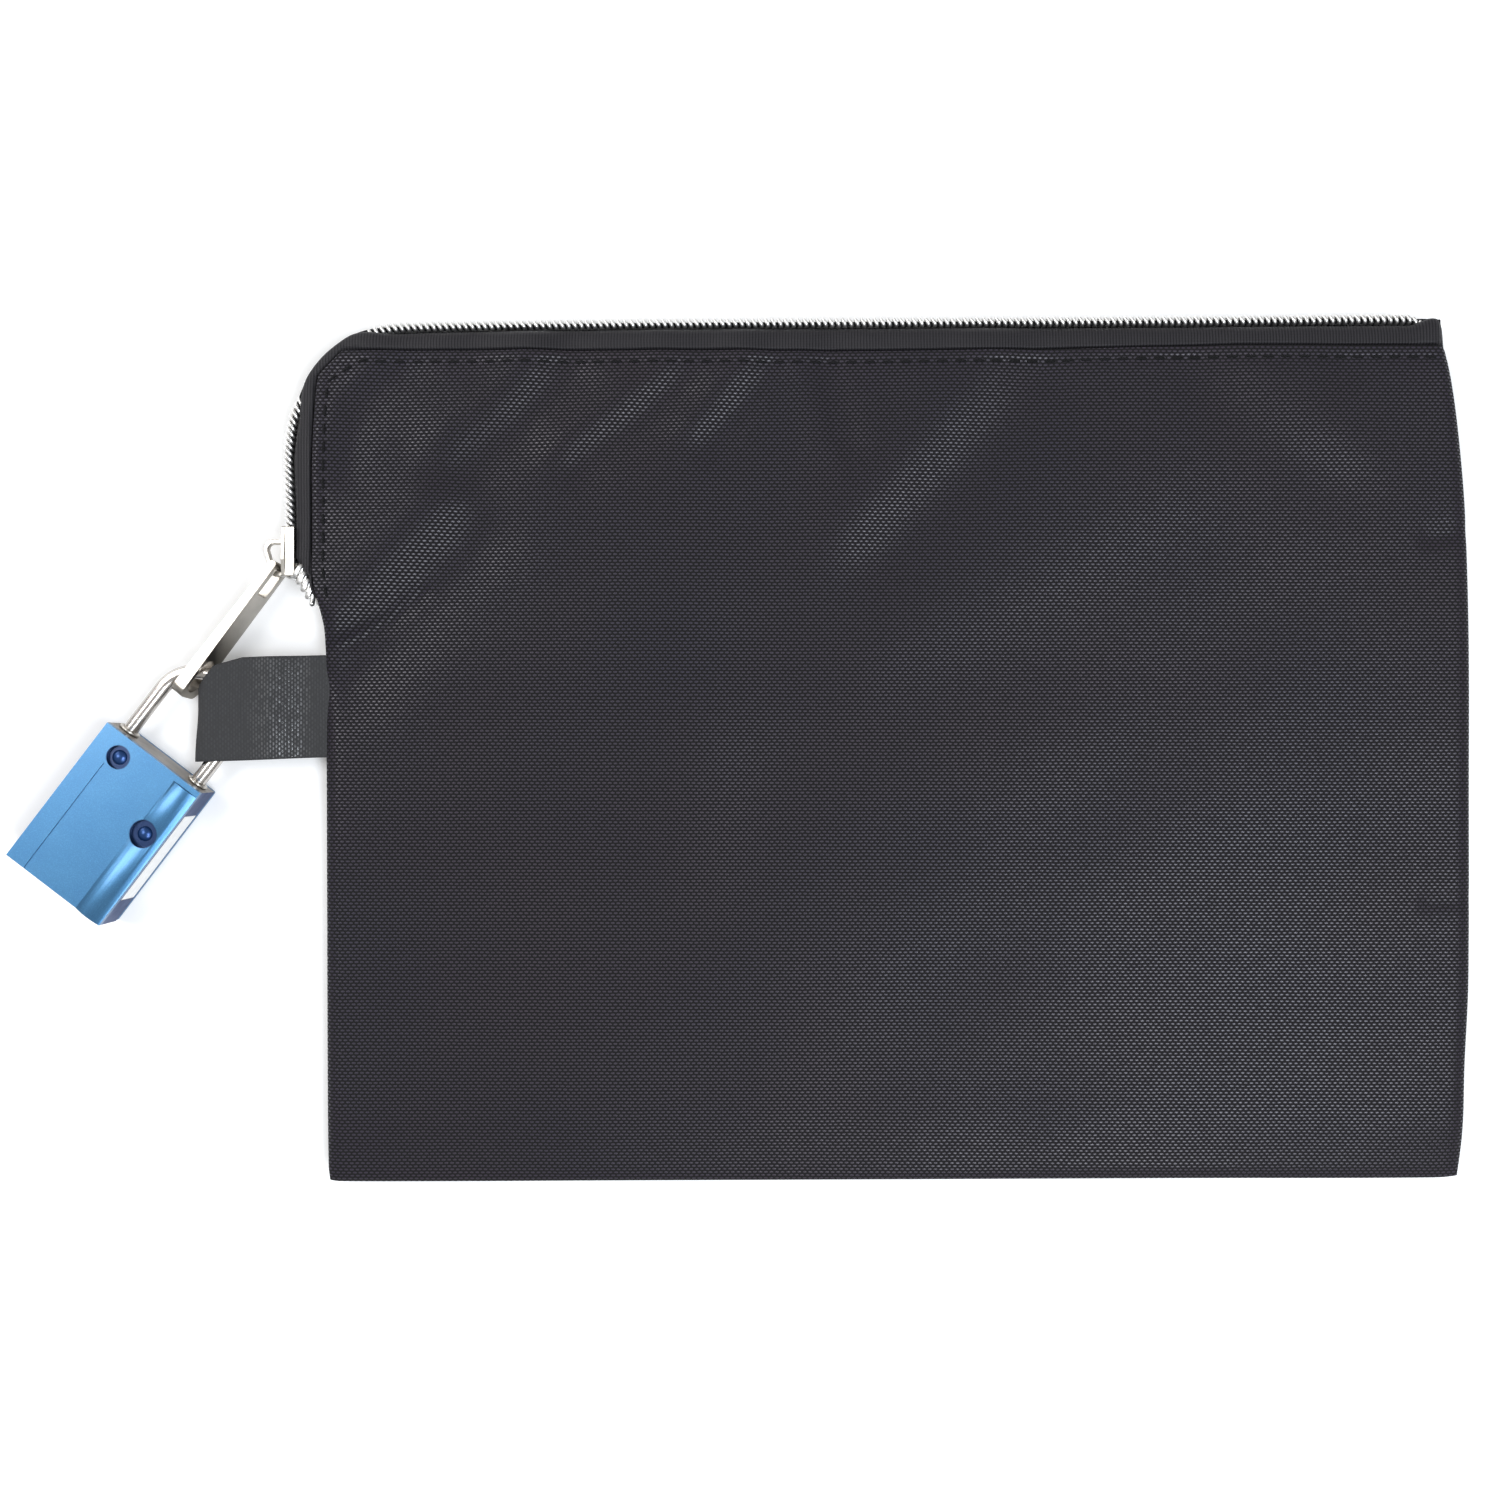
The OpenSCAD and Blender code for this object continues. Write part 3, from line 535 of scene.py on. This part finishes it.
ROLL_R = 3.8
MOUTH_Z = 10.7
SAG, SAG_FROM, SAG_TO = 1.9, 4, 75
LOW_DROP, LOW_RUN = 1.6, 17
LAYER_GAP, LAYER_CREASE = 0.35, 1.15  # inner layers keep this gap, and deepen the valleys by this factor
HEM, HEM_IN, HEM_WIDE = 0.12, 1.2, 0.9
LIP, LIP_RUN = 0.25, 0.5
STANDS_OUT = 0.9  # most that a fold may stand above the panel
BACK_LIFT, BACK_RIPPLE = 0.12, 0.5


def edge_distances(x, y, depth):
    return (x - left_at(y) - depth, RIGHT_EDGE(y) - x - depth,
            y - BOTTOM_EDGE(x) - depth, TOP_EDGE(x) - y - depth)


def edge_roll(x, y, distances, depth):
    """0 at the closed edges, 1 inside and at the open mouth."""
    radius = ROLL_R - depth
    to_left, to_right, to_bottom, to_top = distances
    shape = roll(to_right, radius) * roll(to_bottom, radius)
    shape = shape * (1 - closed_left(y) * (1 - roll(to_left, radius)))
    return shape * (1 - closed_top(x) * (1 - roll(to_top, radius)))


def front_z(x, y, depth=0.0):
    """Height of the front cloth's outer face, or of a layer that lies depth below it."""
    distances = edge_distances(x, y, depth)
    to_left, _, to_bottom, to_top = distances
    from_mouth = np.minimum(to_top, to_left + FAR * (1 - smooth_step(SEAM_Y - 40, SEAM_Y + 14, y)))
    creased = fold_height(x, y) + ripple(x, y) + gather(x, y)
    if depth:
        creased = LAYER_CREASE * np.minimum(creased, 0) - LAYER_GAP
    sag = SAG * smooth_step(SAG_FROM, SAG_TO, from_mouth)
    crown = MOUTH_Z - sag - LOW_DROP * (1 - smooth_step(0, LOW_RUN, to_bottom)) + creased
    hem = HEM * bell(from_mouth, HEM_IN, HEM_WIDE) - LIP * np.exp(-np.maximum(from_mouth, 0) / LIP_RUN)
    height = MID_Z + (crown + hem - depth - MID_Z) * edge_roll(x, y, distances, depth)
    return np.minimum(height, BAG_T + STANDS_OUT - depth)


def back_z(x, y, depth=0.0):
    """Height of the back cloth's outer face, or of a layer that lies depth above it."""
    lift = BACK_LIFT + BACK_RIPPLE * np.clip(ripple(x, y), 0, 1)
    return MID_Z - (MID_Z - depth - lift) * edge_roll(x, y, edge_distances(x, y, depth), depth)


SURFACES = {"front": front_z, "back": back_z}
EDGE_STATIONS = [0, 0.12, 0.35, 0.7, 1.1, 1.6, 2.2, 2.9, 3.7, 4.6, 5.6, 6.8]


def stations(length, step):
    """Positions along a side, as shares of it, close together at both ends where the cloth turns."""
    last = EDGE_STATIONS[-1]
    middle = np.arange(last + step, length - last - step / 2, step)
    return np.array(EDGE_STATIONS + list(middle) + [length - f for f in reversed(EDGE_STATIONS)]) / length


def layer(name, side, depth, thickness, mouth_inset, material, node, step):
    """One layer of cloth of the front or back half, cut to the outline and turned under at the closed edges."""
    us, vs = stations(RIGHT_X - LEFT_X, step), stations(TOP_Y - BOTTOM_Y, step)
    nominal_x = LEFT_X + us * (RIGHT_X - LEFT_X)
    nominal_y = BOTTOM_Y + vs * (TOP_Y - BOTTOM_Y)
    low = BOTTOM_EDGE(nominal_x) + depth
    high = TOP_EDGE(nominal_x) - depth - mouth_inset * (1 - closed_top(nominal_x))
    y = low[None, :] + vs[:, None] * (high - low)[None, :]
    left = left_at(y) + depth + mouth_inset * (1 - closed_left(nominal_y))[:, None]
    x = left + us[None, :] * (RIGHT_EDGE(y) - depth - left)
    z = SURFACES[side](x, y, depth)
    verts = list(zip(x.ravel(), y.ravel(), z.ravel()))
    obj = new_object(name, verts, grid_faces(*x.shape, flip=side == "back"))
    add_thickness(obj, thickness, -1)
    finish_piece(obj, "root", material, [node])


layer("back_cloth", "back", 0.0, CLOTH_T, 0.0, OUTER_CLOTH, "back_panel", 2.0)
layer("front_cloth", "front", 0.0, CLOTH_T, 0.0, OUTER_CLOTH, "front_panel", 1.3)
for half in SURFACES:
    layer(half + "_fire_sheet", half, FIRE_IN, FIRE_T, LAYER_MOUTH_IN, FIRE_CLOTH,
          half + "_fire_layer", 4.0)
    layer(half + "_lining_sheet", half, LINING_IN, LINING_T, LAYER_MOUTH_IN, LINING_CLOTH,
          half + "_lining", 4.0)


# ---------------------------------------------------------------- zip
def smooth_path(points, step):
    """Even points along a smooth open curve through the given ones, and its length."""
    pts = [Vector(p) for p in points]
    pts = [pts[0] * 2 - pts[1]] + pts + [pts[-1] * 2 - pts[-2]]
    dense, pieces = [], 40
    for p0, p1, p2, p3 in zip(pts, pts[1:], pts[2:], pts[3:]):
        for i in range(pieces):
            t = i / pieces
            dense.append(0.5 * (2 * p1 + (p2 - p0) * t + (2 * p0 - 5 * p1 + 4 * p2 - p3) * t**2
                                + (3 * p1 - p0 - 3 * p2 + p3) * t**3))
    dense.append(pts[-2])
    lengths = [0.0]
    for a, b in zip(dense, dense[1:]):
        lengths.append(lengths[-1] + (b - a).length)
    count = max(2, round(lengths[-1] / step))
    want = np.linspace(0, lengths[-1], count + 1)
    axes = [np.interp(want, lengths, [p[k] for p in dense]) for k in range(len(points[0]))]
    return [Vector(p) for p in zip(*axes)], lengths[-1]


# Outer line of the coil, from the right end round the corner and down to the slider, then its loose tail
ZIP_TOP_Y = 104.8
ZIP_LINE = [
    (ZIP_END_X, ZIP_TOP_Y), (ZIP_END_X - 4, ZIP_TOP_Y), (ZIP_END_X - 12, ZIP_TOP_Y),
    (80, 104.5), (24, 104.2), (-46, 103.9), (-93, 103.4), (-116, 102.9), (-125.5, 101.8), (-132.2, 97.8),
    (-136.9, 92.9), (-139.7, 87.6), (-141.7, 81.0), (-142.8, 73.0),
    (ZIP_X - 0.2, 65.0), (ZIP_X, 58.0), (ZIP_X, 51.0), (ZIP_X, SLIDER_Y)]
ZIP_TAIL = [(-140.1, 45.4), (-138.9, 43.0), (-137.6, 40.8), (-136.2, 38.6)]
CHAIN_COIL = dict(pitch=1.5, wide=CHAIN_T / 2 - 0.2, tall=1.2, lift=1.3, wire=0.46, shear=0.75)
TAIL_COIL = dict(pitch=1.95, wide=1.15, tall=0.5, lift=4.0, wire=0.62, shear=-0.9)
COIL_IN = 0.55  # middle of the coil, from the outer line
CORD_IN, CORD_R, CORD_LIFT = 0.35, 0.62, 1.2
HOOD_OUT, HOOD_FLAT, HOOD_SQUEEZE = 1.4, 0.55, 0.6

# Section of the tape: distance from the outer line, and how far it has fallen from the panel towards the chain
TAPE_IN = [11.0, 9.6, 8.6, 8.3, 8.0, 7.7, 7.4, 7.1, 6.8, 6.5, 6.2, 5.9, 5.2, 4.5, 3.6, 3.0, 2.55, 2.2, 2.0, 1.88, 1.8]
TAPE_FALL = [0, 0, 0, 0, 0, 0, 0, 0, 0.01, 0.02, 0.04, 0.08, 0.15, 0.25, 0.5, 0.85, 1.3, 1.9, 2.7, 3.5, 4.2]
TAPE_T, TAPE_STEP = 0.5, 0.9
TAPE_END_X = ZIP_END_X + 4.2
TAPE_FOOT = [(ZIP_X, 40.5), (ZIP_X + 0.2, 36.8)]
FOOT_Y, FOOT_IN = [36.8, 40.4, 44.0, 46.0, 48.5], [6.2, 4.2, 3.9, 1.8, 0.0]  # how the lower end draws back
FOOT_FLAT, FOOT_FLAT_IN = 0.8, 3
END_ROUND, END_RUN = 7.5, 3.0  # rounding of the right end
SEWN_FROM, SEWN_IN, SEWN_SHARE = 9, 9.2, 0.2  # the part under the panel stays put
UNDER_FRONT, UNDER_BACK = 0.35, 0.25
PANEL_IN = 0.6
GROOVE, GROOVE_FROM, GROOVE_TO = 1.3, 0.15, 0.8
CRINKLE, CRINKLE_FROM, CRINKLE_TO = 0.12, 3, 8
FRONT_CLEAR, FALL_CLEAR, BACK_CLEAR = 0.06, 0.05, 0.06  # from the middle of the bag


def outward(path):
    """Unit normals on the outer side of a path that runs right to left and then down."""
    normals = []
    for i in range(len(path)):
        t = (path[min(i + 1, len(path) - 1)] - path[max(i - 1, 0)]).normalized()
        normals.append(Vector((t.y, -t.x)))
    return normals


def corner_hood(point):
    """1 where the tape covers the coil, at the corner and at the right end, 0 along the straight runs."""
    corner = smooth_step(-117, -129, point.x) * smooth_step(80, 91, point.y)
    return float(corner + smooth_step(ZIP_END_X - 5, ZIP_END_X + 0.5, point.x))


def front_tape_z(x, y, inside, fall, flat, crinkle):
    """Height of the front tape, which follows the panel's edge and falls to the chain."""
    edge_x = max(x, at_point(left_at, min(y, TOP_Y - 1.0)) + PANEL_IN)
    edge_y = min(y, at_point(TOP_EDGE, x) - PANEL_IN)
    under = at_point(front_z, edge_x, edge_y) - CLOTH_T - UNDER_FRONT
    wave = crinkle if CRINKLE_FROM < inside < CRINKLE_TO else 0
    z = under + wave - fall * (1 - flat) * (under - MID_Z - FALL_CLEAR) / TAPE_FALL[-1]
    beyond = max(at_point(left_at, y) - x, y - at_point(TOP_EDGE, x))
    z -= GROOVE * (1 - float(smooth_step(GROOVE_FROM, GROOVE_TO, beyond)))
    return max(z, MID_Z + FRONT_CLEAR)


def back_tape_z(fall):
    under = CLOTH_T + UNDER_BACK
    return under + fall * (MID_Z - BACK_CLEAR - under) / TAPE_FALL[-1]


def tape(half):
    """Knitted tape: from under the panel, over a soft shoulder, to the lip that carries the coil."""
    line, total = smooth_path([(TAPE_END_X, ZIP_TOP_Y)] + ZIP_LINE + TAPE_FOOT, TAPE_STEP)
    verts = []
    for i, (point, normal) in enumerate(zip(line, outward(line))):
        along = total * i / (len(line) - 1)
        hood = corner_hood(point)
        start = END_ROUND * (1 - math.sqrt(max(0.0, 1 - (1 - min(along / END_RUN, 1)) ** 2)))
        end = float(np.interp(point.y, FOOT_Y, FOOT_IN))
        flat = max(HOOD_FLAT * hood, FOOT_FLAT * min(end / FOOT_FLAT_IN, 1))
        shift = start + end - HOOD_OUT * hood
        crinkle = CRINKLE * math.sin(along / 2.3) * math.sin(along / 7.1 + 0.8)
        for inside, fall in zip(TAPE_IN, TAPE_FALL):
            reach = inside + shift if inside < SEWN_FROM else max(inside, SEWN_IN + shift * SEWN_SHARE)
            x, y = point.x - normal.x * reach, point.y - normal.y * reach
            z = front_tape_z(x, y, inside, fall, flat, crinkle) if half == "front" else back_tape_z(fall)
            verts.append((x, y, z))
    faces = grid_faces(len(line), len(TAPE_IN), down_first=True, flip=half == "front")
    obj = new_object(half + "_tape", verts, faces)
    add_thickness(obj, TAPE_T, -1)
    finish_piece(obj, "root", TAPE_CLOTH, [half + "_zip_tape"])


def spiral(points, step, sign, pitch, wide, tall, lift, wire, shear):
    """Wire wound round a line: wide is its half width outwards, tall its half height, lift its middle's height."""
    line, total = smooth_path(points, step)
    path = []
    for i, (point, normal) in enumerate(zip(line, outward(line))):
        turn = 2 * math.pi * total * i / (len(line) - 1) / pitch + (0 if sign > 0 else math.pi)
        hood = corner_hood(point)
        reach = wide * math.cos(turn) - COIL_IN - HOOD_OUT * hood
        slant = shear * wide * math.cos(turn) * (1 if normal.y > 0.7 else -1)
        place = point + normal * reach + Vector((-normal.y, normal.x)) * slant
        height = sign * (lift + tall * math.sin(turn)) * (1 - HOOD_SQUEEZE * hood)
        path.append(Vector((place.x, place.y, MID_Z + height)))
    return tube(path, wire, 7)


def coil(half):
    """One row of wound elements on its filler cord. Below the slider the row is loose and runs into the seam."""
    sign = 1 if half == "front" else -1
    wound = new_object(half + "_coil_wire", *spiral(ZIP_LINE, 0.125, sign, **CHAIN_COIL))
    finish_piece(wound, "root", COIL, [half + "_coil"])
    loose = new_object(half + "_coil_tail", *spiral(ZIP_TAIL, 0.1, sign, **TAIL_COIL))
    finish_piece(loose, "root", COIL)
    line = smooth_path(ZIP_LINE, 0.8)[0]
    inside = COIL_IN + CORD_IN
    path = [Vector((p.x - n.x * inside, p.y - n.y * inside, MID_Z + sign * CORD_LIFT))
            for p, n in zip(line, outward(line))]
    cord = new_object(half + "_coil_cord", *tube(path, CORD_R, 8))
    finish_piece(cord, "root", THREAD)


for half in SURFACES:
    tape(half)
    coil(half)


# ---------------------------------------------------------------- top stitching
STITCH_PITCH, STITCH_LEN, STITCH_R = 4.3, 2.4, 0.33
ROUTE_STEP = 0.2
CORNER_CUT = 1.08  # the row turns this much before the cloth's corner
# A stitch's ends and the rise of its middle, from the cloth
STITCH_ENDS = {"front": -0.3, "back": 0.5}
STITCH_RISE = {"front": 0.42, "back": -0.2}


def stitch_route():
    """Line of the stitches, from the side seam round the corner to the zip's right end."""
    points = [(at_point(left_at, y) + STITCH_IN, y) for y in np.arange(SEAM_Y + 2.0, CHAMFER_FROM - CORNER_CUT, 2.0)]
    start_x = at_point(left_at, TOP_Y - 1.0) + STITCH_IN
    for x in np.arange(start_x + 2.0, ZIP_END_X + 3.0, 2.0):
        points.append((x, at_point(TOP_EDGE, x) - STITCH_IN))
    return smooth_path(points, ROUTE_STEP)[0]


def stitches(half):
    """Each stitch is a short bowed length of thread that dips into the cloth at both ends."""
    route = stitch_route()
    per_pitch, per_stitch = round(STITCH_PITCH / ROUTE_STEP), round(STITCH_LEN / ROUTE_STEP)
    verts, faces = [], []
    for start in range(0, len(route) - per_stitch, per_pitch):
        run = route[start:start + per_stitch + 1]
        path = []
        for i, p in enumerate(run):
            arch = math.sin(math.pi * i / (len(run) - 1)) ** 0.5
            z = at_point(SURFACES[half], p.x, p.y) + STITCH_ENDS[half] + STITCH_RISE[half] * arch
            path.append(Vector((p.x, p.y, z)))
        stitch_verts, stitch_faces = tube(path, STITCH_R, 8)
        faces += [tuple(k + len(verts) for k in face) for face in stitch_faces]
        verts += stitch_verts
    obj = new_object(half + "_stitches", verts, faces)
    finish_piece(obj, "root", THREAD, [half + "_topstitch"])


for half in SURFACES:
    stitches(half)


# ---------------------------------------------------------------- webbing loop
LOOP_LOW, LOOP_HIGH = ([c / MM for c in corner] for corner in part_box("webbing_loop"))
WEB_T = 1.0
SHACKLE_Z = (LOOP_LOW[2] + LOOP_HIGH[2]) / 2
GAPE = (LOOP_HIGH[2] - LOOP_LOW[2]) / 2 - WEB_T / 2  # half opening of the loop round the shackle
FOLD_X = LOOP_LOW[0] + GAPE + WEB_T / 2
# One layer of the strap from the seam to the fold: x, and half the distance between the layers
WEB_FLAT = 0.62
WEB_LAYER = [
    (LOOP_HIGH[0] + 1.2, WEB_FLAT), (LEFT_X - 1, WEB_FLAT), (LEFT_X - 5.2, WEB_FLAT + 0.25),
    (LEFT_X - 11.2, GAPE - 0.1), (LEFT_X - 14, GAPE + 0.1), (FOLD_X + 4, GAPE)]
WEB_LIFT_X = LEFT_X - 8  # left of it the strap lies at the shackle's height
WEB_STEP, WEB_ROWS = 0.14, 31
WEB_RIB, WEB_RIB_H = 0.86, 0.02
WEB_CAMBER, WEB_CAMBER_MID = 0.35, 0.6
WEB_SLANT, WEB_SKEW, WEB_SKEW_X, WEB_SKEW_Y = 1.1, 0.8, 9, 13
WEB_DROP, WEB_DROP_FROM, WEB_DROP_RUN = 2.5, 18, 10.5
# Side of the pull tab that the strap leans on, and how far from the tab's middle the strap is kept
TAB_BAR = Vector((-145.014, 46.427))
TAB_SIDE = Vector((0.79441, -0.60738))
PRESS, TUCK, TUCK_RUN = 3.1, 0.08, 3.5


def strap_route():
    """Side view of the strap: lower layer, round the shackle, upper layer."""
    level = [SHACKLE_Z if x < WEB_LIFT_X else MID_Z for x, _ in WEB_LAYER]
    lower = [(x, z - h) for (x, h), z in zip(WEB_LAYER, level)]
    upper = [(x, z + h) for (x, h), z in zip(WEB_LAYER, level)]
    turn = [(FOLD_X - GAPE * math.sin(a), SHACKLE_Z - GAPE * math.cos(a)) for a in np.linspace(0, math.pi, 9)]
    return smooth_path(lower + turn + upper[::-1], WEB_STEP)


def webbing():
    """Folded strap, held open by the shackle. The tab presses on its upper edge, which is drawn down at the fold."""
    line, total = strap_route()
    low_y, high_y = LOOP_LOW[1], LOOP_HIGH[1]
    verts = []
    for i, (point, normal) in enumerate(zip(line, outward(line))):
        along = total * i / (len(line) - 1)
        rib = WEB_RIB_H * math.sin(2 * math.pi * along / WEB_RIB)
        loose = smooth_step(LEFT_X - 4, LEFT_X - 16, point.x)
        at_fold = float(smooth_step(FOLD_X + WEB_SKEW_X, FOLD_X, point.x))
        drop = WEB_DROP * min(max((LEFT_X - WEB_DROP_FROM - point.x) / WEB_DROP_RUN, 0), 1)
        slant = WEB_SLANT * smooth_step(LEFT_X + 6, LEFT_X - 34, point.x)
        outer = 1 if point.y > SHACKLE_Z else -1
        for row_y in np.linspace(low_y, high_y, WEB_ROWS):
            share = (row_y - low_y) / (high_y - low_y)
            camber = 1 - (share * 2 - 1) ** 2 - WEB_CAMBER_MID
            x = point.x - normal.x * rib - WEB_SKEW * at_fold * float(smooth_step(low_y + WEB_SKEW_Y, low_y, row_y))
            y = row_y - drop * share**2 - slant
            z = point.y - normal.y * rib + loose * WEB_CAMBER * camber * outer
            excess = PRESS - ((x - TAB_BAR.x) * TAB_SIDE.x + (y - TAB_BAR.y) * TAB_SIDE.y)
            if excess > 0:
                x += TAB_SIDE.x * excess
                y += TAB_SIDE.y * excess
                z += (SHACKLE_Z - z) * TUCK * (1 - math.exp(-excess / TUCK_RUN))
            verts.append((x, y, z))
    obj = new_object("webbing_strap", verts, grid_faces(len(line), WEB_ROWS))
    add_thickness(obj, WEB_T, 0)
    finish_piece(obj, None, WEBBING, ["webbing_loop"])
    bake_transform(obj)


webbing()


# ---------------------------------------------------------------- hard parts: CAD shapes with softened edges
def soften(node, material, width):
    """Gives a CAD node its finish and rounds its edges by width, in millimetres."""
    obj = frame["nodes"][node]
    obj.data.materials.clear()
    obj.data.materials.append(material)
    if width:
        weld = obj.modifiers.new("weld", "WELD")
        weld.merge_threshold = 0.002 * MM
        bevel = obj.modifiers.new("edges", "BEVEL")
        bevel.width = width * MM
        bevel.segments = 3
        bevel.limit_method = "ANGLE"
        bevel.angle_limit = math.radians(35)
        bevel.harden_normals = True


# The rivets' navy and the pull tab's darker nickel are painted shade.
for node, material, width in [
    ("slider_body", NICKEL, 0.22), ("slider_bridge", NICKEL, 0.4), ("pull_tab", TAB_SHADED_NICKEL, 0.3),
    ("zip_end_stop", BLACKED, 0.3), ("shackle", STEEL, 0.15), ("shackle_collars", NICKEL, 0.2),
    ("shackle_spring", STEEL, 0), ("heel_pin", STEEL, 0.1), ("plug_pin", STEEL, 0.1), ("latch_pawl", STEEL, 0.15),
    ("padlock_core", CORE_METAL, 0.25), ("padlock_front_cover", BLUE, 0.35), ("padlock_back_cover", BLUE, 0.5),
    ("rivets", RIVET_SHADE_NAVY, 0.15), ("side_label", LABEL, 0.1), ("key_plug", BRASS, 0.12), ("wafers", BRASS, 0.08),
]:
    soften(node, material, width)


# ---------------------------------------------------------------- floor, light and camera
FLOOR_HALF = 1500
FLOOR_GLOW = 0.16  # seen by the camera only, so that the floor is white and the object gets no light from it


def floor():
    n = Nodes("floor_white")
    grain = n.noise(60.0, 3.0)
    seen = n.add("ShaderNodeLightPath").outputs["Is Camera Ray"]
    n.set(
        Base_Color=n.mix(grain, rgba(0.93, 0.93, 0.93), rgba(0.96, 0.96, 0.96)), Roughness=0.9,
        Specular_IOR_Level=0.0, Emission_Color=rgba(1, 1, 1),
        Emission_Strength=n.math("MULTIPLY", seen, FLOOR_GLOW))
    low, high = -FLOOR_HALF, FLOOR_HALF
    corners = [(low, low, 0), (high, low, 0), (high, high, 0), (low, high, 0)]
    obj = new_object("floor", corners, [(0, 1, 2, 3)], smooth=False)
    obj.data.materials.append(n.material)


def world():
    sky = bpy.data.worlds.new("studio")
    bpy.context.scene.world = sky
    sky.use_nodes = True
    background = sky.node_tree.nodes["Background"]
    background.inputs["Color"].default_value = rgba(1, 1, 1)
    background.inputs["Strength"].default_value = 0.42


def lamp(name, place, aim, size, power, colour=(1, 1, 1)):
    """Round soft lamp at place, in metres, that points to aim."""
    data = bpy.data.lights.new(name, "AREA")
    data.shape = "DISK"
    data.size = size
    data.energy = power
    data.color = colour
    obj = bpy.data.objects.new(name, data)
    obj.location = place
    obj.rotation_euler = (Vector(aim) - Vector(place)).to_track_quat("-Z", "Y").to_euler()
    bpy.context.scene.collection.objects.link(obj)


def camera():
    """Looks straight down, as the photograph does."""
    data = bpy.data.cameras.new("camera")
    data.sensor_width = 36
    data.lens = 41.09
    data.clip_start = 0.01
    obj = bpy.data.objects.new("camera", data)
    obj.location = (-0.0343, 0.0035, 0.408)
    bpy.context.scene.collection.objects.link(obj)
    bpy.context.scene.camera = obj


floor()
world()
lamp("overhead", (-0.66, 0.24, 1.0), (-0.12, 0.03, 0), 0.5, 5)
lamp("window", (0.41, -0.20, 1.0), (0.08, -0.05, 0), 0.42, 5.0, (0.86, 0.92, 1.0))
lamp("front", (0.22, -0.50, 0.75), (0.03, -0.08, 0), 0.34, 3.0, (0.9, 0.95, 1.0))
lamp("side", (-0.95, 0.85, 0.55), (0, 0.02, 0), 0.8, 4)
camera()
bpy.context.scene.view_settings.view_transform = "Standard"
